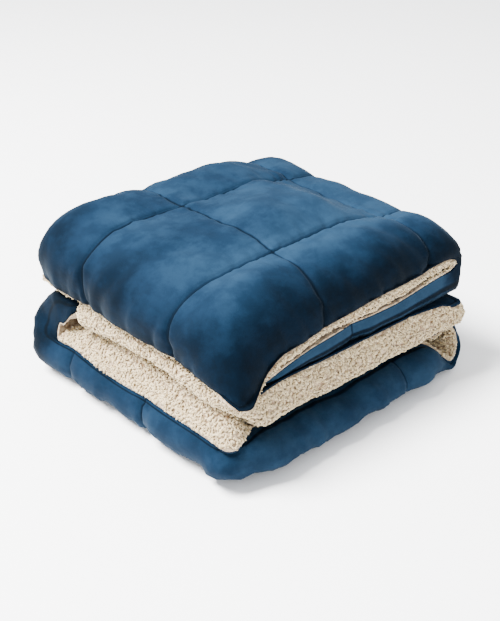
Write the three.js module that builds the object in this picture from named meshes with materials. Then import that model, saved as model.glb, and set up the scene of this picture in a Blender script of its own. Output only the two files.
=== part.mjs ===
// A box-quilted throw, folded back and forth into a puffy stack that lies on a table.
// Millimetres, +Z up. The stack's front corner points at the viewer of the front view:
// the front side runs along X, the left side runs along Y.
//
// The cloth is one sheet of two pieces sewn together round the hem: the plush face, which
// carries the filling and the quilted squares, and the curly pile back. From the top down
// its layers are called top, upper, middle and base:
//   top    plush up, free at the left, front and back
//   upper  plush down, joined to the top by a fold at the right
//   middle plush up, joined to the upper by a fold at the left with the pile outside
//   base   plush down on the table, joined to the middle by a fold at the back,
//          its right end turned up and back over itself

import * as THREE from "three";

// Plan of the stack
const WIDTH = 424;
const DEPTH = 388;
const TOP_RIGHT_FOLD_X = 378;
const LEFT_FOLD_X = 25;
const BACK_FOLD_Y = 337;
const MIDDLE_RIGHT_X = 408;
const BASE_LEFT_X = -8;
const BASE_TURN_X = 398;
const BASE_FLAP_LENGTH = 40;
const INNER_BACK_Y = 300;
const UPPER_BACK_Y = 345;
const UPPER_BACK_SPAN = [60, 140];
const BACK_EASE_FROM = 250;

// How far each layer's front hem is set in, and how far back that is felt
const FRONT_INSET = { top: 0, upper: 1, middle: -3, base: -8, flap: 1 };
const INSET_REACH = 110;

// Thickness of the pieces, and the clearances between them
const PILE = 9;
const LAYER_GAP = 4.4;
const SEWN_GAP = 0.46;
const HEM_HALF = 2.4;
const SQUEEZED_SHARE = 0.6;

// Unevenness of the puffy top: patches and one slanting wave
const LUMPS = { patches: 3.2, patchX: 47, patchY: 41, wave: 2.2, waveX: 83, waveY: 59 };
const LUMP_PHASES = { x: 0.6, y: 1.1 };

// Heights of the hems. The top's climbs from its hanging tip along the front and the left side
const TOP_HEM = {
  tip: 114,
  front: [[36, 22, 68], [18, 70, 200]],
  left: [[4, 330, 60]],
  leftSwell: { height: 24, reach: 34 },
  right: [330, 50],
  rightClimb: { height: 5, back: [[8, 250, 90]] },
};
const UPPER_HEM = { drop: 1.5, corner: { drop: 8, reach: 60, span: [0, 40] }, back: [[16, 250, 80]] };
const MIDDLE_HEM = {
  lift: 4.5,
  corner: { drop: 8, reach: 55 },
  curl: { drop: 34, reach: 60, span: [297, 38] },
  underFold: [[9.5, 360, 30]],
};
const BASE_HEM = { height: 60, right: 17, span: [344, 62], wave: 1.5, length: 37 };
const FLAP_HEM_DROP = 6;

// Heights where two layers meet: in the middle of the stack and at its four sides
const CONTACTS = {
  //            middle    left      right      front      back
  middle:     { mid: 120, left: 122, right: 112, front: 112, back: 128 },
  upper:      { mid: 164, left: 132, right: 172, front: 142, back: 158 },
  top:        { mid: 247, left: 236, right: 213, front: 229, back: 244 },
};
const THINNEST_LAYER = 12;
const SIDE_REACH = 150;
const SIDE_STRENGTH = 4;
const CORNER_DIP = { middle: 0, upper: 20, top: 6 };
const CORNER_REACH = 105;
const CORNER_POWER = 1.6;

// Heights between middle and base: at the front, along the left side, and inside the stack
const BASE_CONTACT = { front: 60, right: 82, left: 107, mid: 84, back: 80, corner: 105 };

// Where those heights change over, as a start and a length
const BASE_SPANS = {
  fromFront: [0, 110],
  fromLeft: [0, 130],
  toRight: [200, 180],
  toBack: [250, 90],
  besideBack: [0, 60],
};
const BASE_CORNER = { flat: 14, reach: 20 };

// Climbs and falls along a side, as rows of height, start and length
const BASE_FRONT_CLIMB = [[15, 300, 95]];
const BASE_LEFT_FALL = [[14, 190, 90], [12, 290, 60]];

// Extra openings between two joined layers next to a fold with the pile inside
const RIGHT_OPENING = [[2, 330, 50]];
const BACK_OPENING = [[7, 250, 90]];

// Height of the pile in the base's turned up end, and where it is reached
const TURN_PILE = { height: 28, span: [300, 76] };
const FLAP_THICKNESS = 6;
const FLAP_PILE = 5.4;

// Quilting seams, as distances along X and Y, and the depth and half width of their channels
const SEAMS = {
  top:    { x: [154, 350], y: [94, 265],  depth: 9,  width: 80 },
  upper:  { x: [205],      y: [],         depth: 6,  width: 60 },
  middle: { x: [],         y: [],         depth: 0,  width: 60 },
  base:   { x: [136, 288], y: [151, 303], depth: 9,  width: 76 },
};

// How each piece rounds off towards a free edge: run of the rounding, and outward bulge
const ROUNDING = {
  top:    { plushRun: 66, plushBulge: 27, pileRun: 16, pileBulge: 5,  seamRun: 16 },
  upper:  { plushRun: 13, plushBulge: 11, pileRun: 14, pileBulge: 1,  seamRun: 14 },
  middle: { plushRun: 14, plushBulge: 1,  pileRun: 34, pileBulge: 26, seamRun: 40 },
  base:   { plushRun: 36, plushBulge: 27, pileRun: 34, pileBulge: 0,  seamRun: 36 },
  flap:   { plushRun: 24, plushBulge: 3,  pileRun: 24, pileBulge: 2,  seamRun: 24 },
};

// Shares of the bulge on the left side, and of the base's plush along the tucked part of its front
const BULGE_START = 60;
const FLAT_TIP = { share: 0.3, reach: 62 };
const LEFT_SHARE = { top: { plush: 1.9, pile: 0 }, middle: { pile: 0 }, base: { plush: 1.2 } };
const TUCKED_SHARE = 2.35;

// Radius of each layer's front corners in plan, and of all back corners
const CORNER_RADIUS = { top: 30, upper: 20, middle: 12, base: 12, flap: 10 };
const BACK_CORNER_RADIUS = 24;

// How far the stuffed corners stand out: the base's in front, and the top's at the back
const BASE_PUSH = { x: 19, y: 7 };
const TOP_BACK_PUSH = 4;
const PUSH = { width: 0.4, length: 2, start: 12 };

// Half widths of the folds, for the seam between the pieces, the plush, the pile, and the hem
const RIGHT_FOLD = { seam: 20, plush: 50, pile: 10, hem: 24, run: 28, boxed: 0.3 };
const LEFT_FOLD = { seam: 15, plush: 4, pile: 28, hem: 9, run: 46, boxed: 1 };
const BACK_FOLD = { seam: 28, plush: 69, pile: 14, hem: 5, run: 34, boxed: 0.4 };
const BACK_FOLD_RIGHT_HEM = 28;
const TURNED_END = { seam: 16, plush: 27, pile: 8, hem: 16, run: 30, boxed: 1 };

const clamp = (value, low, high) => Math.min(high, Math.max(low, value));
const mix = (a, b, share) => a + (b - a) * share;
const smooth = (value) => {
  const t = clamp(value, 0, 1);
  return t * t * (3 - 2 * t);
};

// A rise from 0 at one value to 1 past it by the given length
const ramp = (value, from, length) => smooth((value - from) / length);

// The sum of rises along a side, from rows of height, start and length
const climb = (value, rises) => {
  let height = 0;
  for (const [by, from, length] of rises) {
    height += by * ramp(value, from, length);
  }
  return height;
};

// A hump of height 1 at 0, which is gone two reaches away
const hump = (value, reach) => Math.exp(-((value / reach) ** 2));

// 1 on a side of the stack, falling to 0 at the side reach
const nearSide = (distance) => 1 - smooth(distance / SIDE_REACH);

// 1 at the front corner, where the cloth hangs lowest
const nearCorner = (x, y) => Math.exp(-((Math.hypot(x, y) / CORNER_REACH) ** CORNER_POWER));

// Height between middle and base: low along the front, high along the left side
function baseContact(x, y) {
  const { front, right, left, mid, back, corner } = BASE_CONTACT;
  const { fromFront, fromLeft, toRight, toBack, besideBack } = BASE_SPANS;
  const atCorner = hump(Math.max(x - BASE_CORNER.flat, 0), BASE_CORNER.reach);
  const alongFront = mix(front, corner, atCorner) + climb(x, BASE_FRONT_CLIMB);
  const alongLeft = left - climb(y, BASE_LEFT_FALL);
  const inFront = mix(alongLeft, mix(mid, right, ramp(x, ...toRight)), ramp(x, ...fromLeft));
  const inside = mix(inFront, back, ramp(y, ...toBack) * ramp(x, ...besideBack));
  return mix(alongFront, inside, ramp(y, ...fromFront));
}

// Height of the surface where two layers meet, over the plan point (x, y)
function contactHeight(name, x, y) {
  if (name === "base") {
    return baseContact(x, y);
  }
  const rows = CONTACTS[name];
  const weights = {
    left: nearSide(x),
    right: nearSide(WIDTH - x),
    front: nearSide(y),
    back: nearSide(DEPTH - y),
  };
  let sum = rows.mid;
  let total = 1;
  for (const [side, weight] of Object.entries(weights)) {
    sum += rows[side] * weight * SIDE_STRENGTH;
    total += weight * SIDE_STRENGTH;
  }
  const height = sum / total - CORNER_DIP[name] * nearCorner(x, y);
  return name === "upper" ? Math.max(height, contactHeight("middle", x, y) + THINNEST_LAYER) : height;
}

function lumps(x, y) {
  const { patches, patchX, patchY, wave, waveX, waveY } = LUMPS;
  const patch = Math.sin(x / patchX + LUMP_PHASES.x) * Math.sin(y / patchY + LUMP_PHASES.y);
  return patches * patch + wave * Math.sin(x / waveX - y / waveY);
}

// Share of a channel's full depth at a distance from the nearest seam of a list: domes meet there
const DOME_POWER = 2.1;

function channel(position, seams, width) {
  const shares = seams.map((seam) => 1 - clamp(Math.abs(position - seam) / width, 0, 1));
  return Math.max(0, ...shares) ** DOME_POWER;
}

// Both directions of channels together
function quilting(layer, x, y) {
  const { x: acrossX, y: acrossY, width } = SEAMS[layer];
  const alongX = channel(x, acrossX, width);
  const alongY = channel(y, acrossY, width);
  return alongX + alongY - alongX * alongY;
}

// Height of the hem of each layer at the plan point (x, y)
const HEM = {
  top(x, y) {
    const { tip, front, left, leftSwell, right, rightClimb } = TOP_HEM;
    const alongLeft = leftSwell.height * (1 - Math.exp(-y / leftSwell.reach)) + climb(y, left);
    const share = x / (x + y + 1e-6);
    const atRight = (rightClimb.height + climb(y, rightClimb.back)) * ramp(x, ...right);
    return tip + mix(alongLeft, climb(x, front), share) + atRight;
  },
  upper(x, y) {
    const { drop, corner, back } = UPPER_HEM;
    const atCorner = corner.drop * hump(x, corner.reach) * (1 - ramp(y, ...corner.span));
    return contactHeight("upper", x, y) - drop - atCorner - climb(y, back);
  },
  middle(x, y) {
    const { lift, corner, curl, underFold } = MIDDLE_HEM;
    const atCorner = corner.drop * hump(x, corner.reach);
    const curled = curl.drop * ramp(y, ...curl.span) * hump(x, curl.reach);
    return contactHeight("middle", x, y) + lift - atCorner - curled - climb(x, underFold);
  },
  base(x, y) {
    const { height, right, span, wave, length } = BASE_HEM;
    return mix(height, right, ramp(x, ...span)) + wave * Math.sin((x + y) / length);
  },
  flap(x, y) {
    return contactHeight("base", x, y) - FLAP_HEM_DROP;
  },
};

// Thickness of the pile piece, less where the whole layer is squeezed
const pileThickness = (layerThickness) => Math.min(PILE, SQUEEZED_SHARE * layerThickness);

// Heights of one layer's three surfaces away from its edges: seam between the pieces, plush, pile
const LEVELS = {
  top(x, y) {
    const pile = contactHeight("upper", x, y) + LAYER_GAP / 2 + climb(x, RIGHT_OPENING);
    const plush = contactHeight("top", x, y) + lumps(x, y) - SEAMS.top.depth * quilting("top", x, y);
    return { seam: pile + PILE, plush, pile };
  },
  upper(x, y) {
    const pile = contactHeight("upper", x, y) - LAYER_GAP / 2 - climb(x, RIGHT_OPENING);
    const plush = contactHeight("middle", x, y) + LAYER_GAP / 2;
    return { seam: pile - pileThickness(pile - plush), plush, pile };
  },
  middle(x, y) {
    const pile = contactHeight("base", x, y) + LAYER_GAP / 2 + climb(y, BACK_OPENING);
    const plush = contactHeight("middle", x, y) - LAYER_GAP / 2;
    return { seam: pile + pileThickness(plush - pile), plush, pile };
  },
  base(x, y) {
    const level = contactHeight("base", x, y) - LAYER_GAP / 2 - climb(y, BACK_OPENING);
    const pile = mix(level, TURN_PILE.height, ramp(x, ...TURN_PILE.span));
    return { seam: pile - PILE, plush: 0, pile };
  },
  flap(x, y) {
    const plush = contactHeight("base", x, y) - LAYER_GAP / 2;
    const sewn = plush - FLAP_THICKNESS;
    return { seam: sewn, plush, pile: sewn - FLAP_PILE };
  },
};

const STUFFED_POWER = 0.82;
const BULGE_POWER = 0.4;

// 0 at a free edge and 1 past the run: the steep start of a stuffed edge, or an upright wall
const stuffedRise = (share) => Math.sin((Math.PI / 2) * share) ** STUFFED_POWER;
const wallRise = (share) => 0.5 - 0.5 * Math.cos(Math.PI * share);

// Outward shift of the cloth over a free edge, none at the edge itself; a wall keeps it lower down
const WALL_SKEW = 1.45;

function bulge(share, wall) {
  if (wall) {
    return Math.sin(Math.PI * share ** WALL_SKEW);
  }
  return Math.sin(Math.PI * share) * (1 - share) ** BULGE_POWER;
}

// Run and bulge of one of the three surfaces
function roundingOf(layer, face, x, y, hanging) {
  const row = ROUNDING[layer];
  if (face === "seam") {
    return { run: row.seamRun, out: 0 };
  }
  const atTip = 1 - FLAT_TIP.share * hump(Math.hypot(x, y), FLAT_TIP.reach);
  const shares = { upper: ramp(x, LEFT_FOLD_X, BULGE_START), top: face === "pile" ? 1 - hanging : atTip };
  const out = (face === "plush" ? row.plushBulge : row.pileBulge) * (shares[layer] ?? 1);
  return { run: face === "plush" ? row.plushRun : row.pileRun, out };
}

// Height of the hem for each surface: the plush and pile pieces stand a little apart there
function hemOffset(layer, face) {
  const plushUp = layer === "top" || layer === "middle" || layer === "flap";
  const outward = { plush: HEM_HALF, seam: 0, pile: -HEM_HALF }[face];
  return plushUp ? outward : -outward;
}

// What two distances lack of a radius, mapped from a square corner onto a quarter disc
function rounded(toX, toY, radius) {
  const p = clamp(radius - toX, 0, radius);
  const q = clamp(radius - toY, 0, radius);
  const x = p * Math.sqrt(1 - 0.5 * (q / radius) ** 2);
  const y = q * Math.sqrt(1 - 0.5 * (p / radius) ** 2);
  return { x, y, length: Math.hypot(x, y), movedX: p - x, movedY: q - y };
}

// How far the base's front hem is tucked under the middle, how far back, and where it starts and ends
const TUCK = { reach: 22, depth: 90, left: [0, 60], right: [325, 60] };

// 1 where the hem is tucked, 0 at its two ends
const tuck = (x) => ramp(x, ...TUCK.left) * (1 - ramp(x, ...TUCK.right));

// How far a stuffed corner stands out, along X and Y
function cornerPush(layer, face, inFront) {
  if (face !== "plush") {
    return { x: 0, y: 0 };
  }
  if (layer === "base") {
    return BASE_PUSH;
  }
  const push = layer === "top" && !inFront ? TOP_BACK_PUSH : 0;
  return { x: push, y: push };
}

// Where a hem counts as hanging, by how far it is below the middle of its layer
const HANGING_SPAN = [-4, 8];

// How far a quilting seam draws the hem in, and how far in that reaches
const HEM_PINCH = 4.5;
const PINCH_RUN = 60;
const FOLD_PINCH = 0.5;
const FAR = 2 * WIDTH;

// A point of one surface of a layer, from its plan point and its distances to free edges
function layerPoint(layer, face, x, y, edges) {
  const hem = HEM[layer](x, y) + hemOffset(layer, face);
  const level = LEVELS[layer](x, y)[face];
  const hanging = ramp(level - hem, ...HANGING_SPAN);
  const { run, out } = roundingOf(layer, face, x, y, hanging);
  const wall = face === "plush" && (layer === "base" || layer === "upper");
  let inside = 1;
  for (const distance of Object.values(edges)) {
    const share = clamp(distance / run, 0, 1);
    inside *= wall ? wallRise(share) : stuffedRise(share);
  }
  const { left = FAR, right = FAR, front = FAR, back = FAR } = edges;
  const toX = Math.min(left, right);
  const toY = Math.min(front, back);
  const signX = left <= right ? -1 : 1;
  const inFront = front <= back;
  const corner = rounded(toX, toY, run);
  const depthIn = Math.max(run - corner.length, 0);
  const swell = (out * bulge(depthIn / run, wall)) / Math.max(corner.length, 1e-6);
  const wider = signX < 0 ? LEFT_SHARE[layer]?.[face] ?? 1 : 1;
  const deeper = layer === "base" && face === "plush" ? mix(1, TUCKED_SHARE, tuck(x)) : 1;
  const plan = rounded(toX, toY, inFront ? CORNER_RADIUS[layer] : BACK_CORNER_RADIUS);
  const seams = SEAMS[layer === "flap" ? "base" : layer];
  const nearX = (1 - ramp(toX, 0, PINCH_RUN)) * ramp(toY, 0, PINCH_RUN);
  const nearY = (1 - ramp(toY, 0, PINCH_RUN)) * ramp(toX, 0, PINCH_RUN);
  const drawnX = HEM_PINCH * channel(y, seams.y, seams.width) * nearX;
  const drawnY = HEM_PINCH * channel(x, seams.x, seams.width) * nearY;
  const push = cornerPush(layer, face, inFront);
  const onDiagonal = hump(toX - toY, PUSH.width * run) * hump(toX + toY, PUSH.length * run);
  const atCorner = onDiagonal * ramp(depthIn, 0, PUSH.start);
  const movedX = swell * wider * corner.x - plan.movedX - drawnX + push.x * atCorner;
  const movedY = swell * deeper * corner.y - plan.movedY - drawnY + push.y * atCorner;
  return new THREE.Vector3(
    x + signX * movedX,
    y + (inFront ? -1 : 1) * movedY,
    mix(hem, level, inside),
  );
}

// The corner of the top layer hangs forward as a soft tongue
const TONGUE = { reach: 21, left: 4, across: [10, 52], along: [0, 90] };

function hangCorner(point, x, y) {
  const hung = (1 - ramp(x, ...TONGUE.across)) * (1 - ramp(y, ...TONGUE.along));
  point.x -= TONGUE.left * hung;
  point.y -= TONGUE.reach * hung;
  return point;
}

// Stations: fine at the free edges and on both flanks of each seam, coarse between
const WIDEST_STEP = 46;
const CLOSEST_STEP = 2.5;
const EDGE_STEPS = [0, 4, 8, 13, 22, 36, 58];
const FOLD_STEPS = 6;
const BACK_FOLD_STEPS = 7;
const FLAP_SHARES = [0, 0.4, 0.8, 1];
const BACK_SHARES = [1 / 3, 2 / 3, 1];
const SEAM_STEPS = { deep: [-20, 0, 20], shallow: [-14, 0, 14] };

function stations(start, end, { from = true, to = true, seams = [], steps = SEAM_STEPS.deep }) {
  const wanted = [start, end];
  for (const step of EDGE_STEPS) {
    if (from) {
      wanted.push(start + step);
    }
    if (to) {
      wanted.push(end - step);
    }
  }
  for (const seam of seams) {
    for (const step of steps) {
      wanted.push(seam + step);
    }
  }
  const inRange = wanted.filter((value) => value >= start && value <= end).sort((a, b) => a - b);
  const spaced = [];
  for (const value of inRange) {
    const last = spaced.at(-1);
    if (last !== undefined && value - last < CLOSEST_STEP) {
      continue;
    }
    const pieces = last === undefined ? 1 : Math.ceil((value - last) / WIDEST_STEP);
    for (let k = 1; k <= pieces; k += 1) {
      spaced.push(last === undefined ? value : last + ((value - last) * k) / pieces);
    }
  }
  spaced[spaced.length - 1] = end;
  return spaced;
}

// Angles of a fold from its upper to its lower layer, without the two ends
function foldAngles(steps) {
  return Array.from({ length: steps - 1 }, (_, k) => Math.PI / 2 - (Math.PI * (k + 1)) / steps);
}

// Columns run along the sheet: top, right fold, upper, left fold, middle and base, turned end, flap
const columns = [];
for (const x of stations(0, TOP_RIGHT_FOLD_X, { to: false, seams: SEAMS.top.x })) {
  columns.push({ zone: "top", x });
}
for (const angle of foldAngles(FOLD_STEPS)) {
  columns.push({ zone: "rightFold", angle });
}
const upperPlan = { from: false, to: false, seams: SEAMS.upper.x, steps: SEAM_STEPS.shallow };
for (const x of stations(LEFT_FOLD_X, TOP_RIGHT_FOLD_X, upperPlan).reverse()) {
  columns.push({ zone: "upper", x });
}
for (const angle of foldAngles(FOLD_STEPS)) {
  columns.push({ zone: "leftFold", angle });
}
const firstMiddle = columns.length;
const middleWidth = MIDDLE_RIGHT_X - LEFT_FOLD_X;
const middlePlan = { seams: SEAMS.base.x, steps: SEAM_STEPS.shallow };
for (const x of stations(LEFT_FOLD_X, MIDDLE_RIGHT_X, middlePlan)) {
  columns.push({ zone: "middle", share: (x - LEFT_FOLD_X) / middleWidth });
}
const lastMiddle = columns.length - 1;
for (const angle of foldAngles(FOLD_STEPS).reverse()) {
  columns.push({ zone: "turnedEnd", angle });
}
for (const along of FLAP_SHARES) {
  columns.push({ zone: "flap", along });
}

// Rows run from the front to the back of the strip, round the back fold, and forward under it
const rows = [];
for (const y of stations(0, DEPTH, { seams: SEAMS.top.y })) {
  rows.push({ zone: "strip", y });
}
const lastStrip = rows.length - 1;
for (const share of BACK_SHARES) {
  rows.push({ zone: "overBack", y: mix(INNER_BACK_Y, BACK_FOLD_Y, share) });
}
for (const angle of foldAngles(BACK_FOLD_STEPS)) {
  rows.push({ zone: "backFold", angle });
}
const firstBase = rows.length;
const basePlan = { to: false, seams: SEAMS.base.y, steps: SEAM_STEPS.shallow };
for (const y of stations(0, BACK_FOLD_Y, basePlan).reverse()) {
  rows.push({ zone: "base", y });
}

// The inner layers end short of the top's back edge, at the back Y given
function innerY(y, backY = INNER_BACK_Y) {
  if (y <= BACK_EASE_FROM) {
    return y;
  }
  return mix(BACK_EASE_FROM, backY, (y - BACK_EASE_FROM) / (DEPTH - BACK_EASE_FROM));
}

// Plan Y of a layer's row, with its front hem set in by its own amount
function rowY(layer, y) {
  return y + FRONT_INSET[layer] * (1 - ramp(y, 0, INSET_REACH));
}

function topPoint(face, x, y) {
  const edges = { left: x, front: y, back: DEPTH - y };
  return hangCorner(layerPoint("top", face, x, rowY("top", y), edges), x, y);
}

function upperPoint(face, x, y) {
  const inner = innerY(y, mix(INNER_BACK_Y, UPPER_BACK_Y, ramp(x, ...UPPER_BACK_SPAN)));
  return layerPoint("upper", face, x, rowY("upper", inner), { front: y, back: DEPTH - y });
}

// The middle's right end is blunt: it rounds off in a shorter run than its front
const BLUNT_END = 1.5;

// How the middle's left edge comes out past the strip, and how its front hem leans forward
const LEFT_EDGE = { x: -1, reach: 16, atStrip: 0.35 };
const LEAN = { right: [[10, 300, 90]], left: 8, leftReach: 50, depth: 80 };

// The middle is free at the right and front, and at the left only past the strip
function middlePoint(face, share, y, pastStrip) {
  const ease = Math.max(ramp(y, INNER_BACK_Y, LEFT_EDGE.reach), LEFT_EDGE.atStrip);
  const left = mix(LEFT_FOLD_X, LEFT_EDGE.x, pastStrip ? ease : 0);
  const x = mix(left, MIDDLE_RIGHT_X, share);
  const edges = { right: (MIDDLE_RIGHT_X - x) * BLUNT_END, front: y };
  if (pastStrip) {
    edges.left = x - left;
  }
  const lean = climb(x, LEAN.right) + LEAN.left * hump(x, LEAN.leftReach);
  return layerPoint("middle", face, x, rowY("middle", y) - lean * (1 - ramp(y, 0, LEAN.depth)), edges);
}

function basePoint(face, share, y) {
  const x = mix(BASE_LEFT_X, BASE_TURN_X, share);
  const tucked = TUCK.reach * tuck(x) * (1 - ramp(y, 0, TUCK.depth));
  return layerPoint("base", face, x, rowY("base", y) + tucked, { left: x - BASE_LEFT_X, front: y });
}

function flapPoint(face, along, y) {
  const x = BASE_TURN_X - BASE_FLAP_LENGTH * along;
  const edges = { left: BASE_FLAP_LENGTH * (1 - along), front: y };
  return layerPoint("flap", face, x, rowY("flap", y), edges);
}

// A half turn from an upper to a lower point, outward along one axis, with its lower half boxed
function foldPoint(over, under, centre, angle, axis, outward, boxed) {
  const across = Math.sin(angle);
  const point = over.clone().lerp(under, (1 - across) / 2);
  const half = across >= 0 ? over.z - centre : centre - under.z;
  point.z = centre + half * across;
  point[axis] += outward * Math.cos(angle) ** (across < 0 ? boxed : 1);
  return point;
}

// Half width of a fold, which narrows towards a free edge of the sheet
function foldWidth(widths, face, edgeDistance) {
  const side = Math.sign(widths.plush - widths.seam) * HEM_HALF;
  const atHem = widths.hem + { plush: side, seam: 0, pile: -side }[face];
  return mix(atHem, widths[face], stuffedRise(clamp(edgeDistance / widths.run, 0, 1)));
}

// Only the plush of a fold stands up like a wall
const boxedOf = (widths, face) => (face === "plush" ? widths.boxed : 1);

// A point of one of the three surfaces at a column and a row of the sheet
function sheetPoint(face, column, row) {
  const col = columns[column];
  const { zone } = rows[row];
  if (zone === "strip") {
    return stripPoint(face, col, rows[row].y);
  }
  if (zone === "base") {
    return bottomPoint(face, col, rows[row].y);
  }
  if (zone === "overBack") {
    return middlePoint(face, col.share, rows[row].y, true);
  }
  const over = middlePoint(face, col.share, BACK_FOLD_Y, true);
  const under = basePoint(face, col.share, BACK_FOLD_Y);
  const seamOver = middlePoint("seam", col.share, BACK_FOLD_Y, true);
  const seamUnder = basePoint("seam", col.share, BACK_FOLD_Y);
  const centre = (seamOver.z + seamUnder.z) / 2;
  const edge = Math.min(col.share, 1 - col.share) * middleWidth;
  const hem = col.share < 0.5 ? BACK_FOLD.hem : BACK_FOLD_RIGHT_HEM;
  const width = foldWidth({ ...BACK_FOLD, hem }, face, edge);
  return foldPoint(over, under, centre, rows[row].angle, "y", width, boxedOf(BACK_FOLD, face));
}

function stripPoint(face, col, y) {
  if (col.zone === "top") {
    return topPoint(face, col.x, y);
  }
  if (col.zone === "upper") {
    return upperPoint(face, col.x, y);
  }
  if (col.zone === "middle") {
    return middlePoint(face, col.share, innerY(y), false);
  }
  const right = col.zone === "rightFold";
  const overAt = (f) => (right ? topPoint(f, TOP_RIGHT_FOLD_X, y) : upperPoint(f, LEFT_FOLD_X, y));
  const underAt = (f) =>
    right ? upperPoint(f, TOP_RIGHT_FOLD_X, y) : middlePoint(f, 0, innerY(y), false);
  const centre = (overAt("seam").z + underAt("seam").z) / 2;
  const fold = right ? RIGHT_FOLD : LEFT_FOLD;
  const drawn = FOLD_PINCH * SEAMS.top.depth * channel(y, SEAMS.top.y, SEAMS.top.width);
  const width = foldWidth(fold, face, Math.min(y, DEPTH - y)) - (right && face === "plush" ? drawn : 0);
  const outward = right ? width : -width;
  return foldPoint(overAt(face), underAt(face), centre, col.angle, "x", outward, boxedOf(fold, face));
}

function bottomPoint(face, col, y) {
  if (col.zone === "middle") {
    return basePoint(face, col.share, y);
  }
  if (col.zone === "flap") {
    return flapPoint(face, col.along, y);
  }
  const over = flapPoint(face, 0, y);
  const under = basePoint(face, 1, y);
  const centre = (flapPoint("seam", 0, y).z + basePoint("seam", 1, y).z) / 2;
  const width = foldWidth(TURNED_END, face, y);
  return foldPoint(over, under, centre, col.angle, "x", width, boxedOf(TURNED_END, face));
}

// Which cells of the column and row grid are cloth
function isCloth(column, row) {
  if (column < 0 || row < 0 || column >= columns.length - 1 || row >= rows.length - 1) {
    return false;
  }
  if (row < lastStrip) {
    return column < lastMiddle;
  }
  if (row < firstBase) {
    return column >= firstMiddle && column < lastMiddle;
  }
  return column >= firstMiddle;
}

const key = (column, row) => row * columns.length + column;

// Every corner of a cloth cell, with its point on one surface
function surfacePoints(face) {
  const points = new Map();
  for (let row = 0; row < rows.length; row += 1) {
    for (let column = 0; column < columns.length; column += 1) {
      const used = isCloth(column, row) || isCloth(column - 1, row)
        || isCloth(column, row - 1) || isCloth(column - 1, row - 1);
      if (used) {
        points.set(key(column, row), sheetPoint(face, column, row));
      }
    }
  }
  return points;
}

// The seam surface moved along its own normal, towards the plush for a positive distance
function offsetPoints(points, distance) {
  const moved = new Map();
  for (const [id, point] of points) {
    const column = id % columns.length;
    const row = Math.floor(id / columns.length);
    const at = (c, r) => points.get(key(c, r)) ?? point;
    const along = at(column + 1, row).clone().sub(at(column - 1, row));
    const across = at(column, row + 1).clone().sub(at(column, row - 1));
    const normal = along.cross(across).normalize();
    moved.set(id, point.clone().addScaledVector(normal, distance));
  }
  return moved;
}

// A closed body between an outer and an inner surface of the sheet
function closedSheet(outer, inner) {
  const ids = [...outer.keys()];
  const indexOf = new Map(ids.map((id, k) => [id, k]));
  const positions = [...ids.map((id) => outer.get(id)), ...ids.map((id) => inner.get(id))];
  const count = ids.length;
  const faces = [];
  const quad = (a, b, c, d) => faces.push(a, b, c, a, c, d);
  for (let row = 0; row < rows.length - 1; row += 1) {
    for (let column = 0; column < columns.length - 1; column += 1) {
      if (!isCloth(column, row)) {
        continue;
      }
      const a = indexOf.get(key(column, row));
      const b = indexOf.get(key(column + 1, row));
      const c = indexOf.get(key(column + 1, row + 1));
      const d = indexOf.get(key(column, row + 1));
      quad(a, b, c, d);
      quad(a + count, d + count, c + count, b + count);
      const sides = [
        [isCloth(column, row - 1), a, b],
        [isCloth(column + 1, row), b, c],
        [isCloth(column, row + 1), c, d],
        [isCloth(column - 1, row), d, a],
      ];
      for (const [joined, from, to] of sides) {
        if (!joined) {
          quad(to, from, from + count, to + count);
        }
      }
    }
  }
  const geometry = new THREE.BufferGeometry();
  const flat = positions.flatMap((point) => [point.x, point.y, point.z]);
  geometry.setAttribute("position", new THREE.Float32BufferAttribute(flat, 3));
  geometry.setIndex(faces);
  geometry.computeVertexNormals();
  return geometry;
}

const seam = surfacePoints("seam");
const plushGeometry = closedSheet(surfacePoints("plush"), offsetPoints(seam, SEWN_GAP / 2));
const pileGeometry = closedSheet(offsetPoints(seam, -SEWN_GAP / 2), surfacePoints("pile"));

const plush = new THREE.MeshStandardMaterial({ color: 0x2f5273, roughness: 0.85, metalness: 0 });
const pile = new THREE.MeshStandardMaterial({ color: 0xe4d9c8, roughness: 0.95, metalness: 0 });

const throwGroup = new THREE.Group();
const plushFace = new THREE.Mesh(plushGeometry, plush);
plushFace.name = "plush_face";
const pileBack = new THREE.Mesh(pileGeometry, pile);
pileBack.name = "pile_back";
throwGroup.add(plushFace, pileBack);

// The origin stands under the middle of the stack's bounding box
const box = new THREE.Box3().setFromObject(throwGroup);
const centre = box.getCenter(new THREE.Vector3());
for (const mesh of [plushFace, pileBack]) {
  mesh.geometry.translate(-centre.x, -centre.y, -box.min.z);
}

export default throwGroup;
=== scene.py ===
"""A box-quilted throw, folded back and forth into a puffy stack.

The cloth is one sheet of two pieces: a short-plush face that carries the filling and
the quilted squares, and a curly fleece back. Both are worked out as surfaces over the
same grid of the sheet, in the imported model's frame and in metres.

Plan coordinates run from the stack's front corner: X along the front side, Y along the
left side. From the top down the layers are top, upper, middle and base, and the base's
right end is turned up and back as a short flap.
"""

from __future__ import annotations

import logging
import math
from dataclasses import dataclass, field, replace
from enum import Enum

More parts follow.
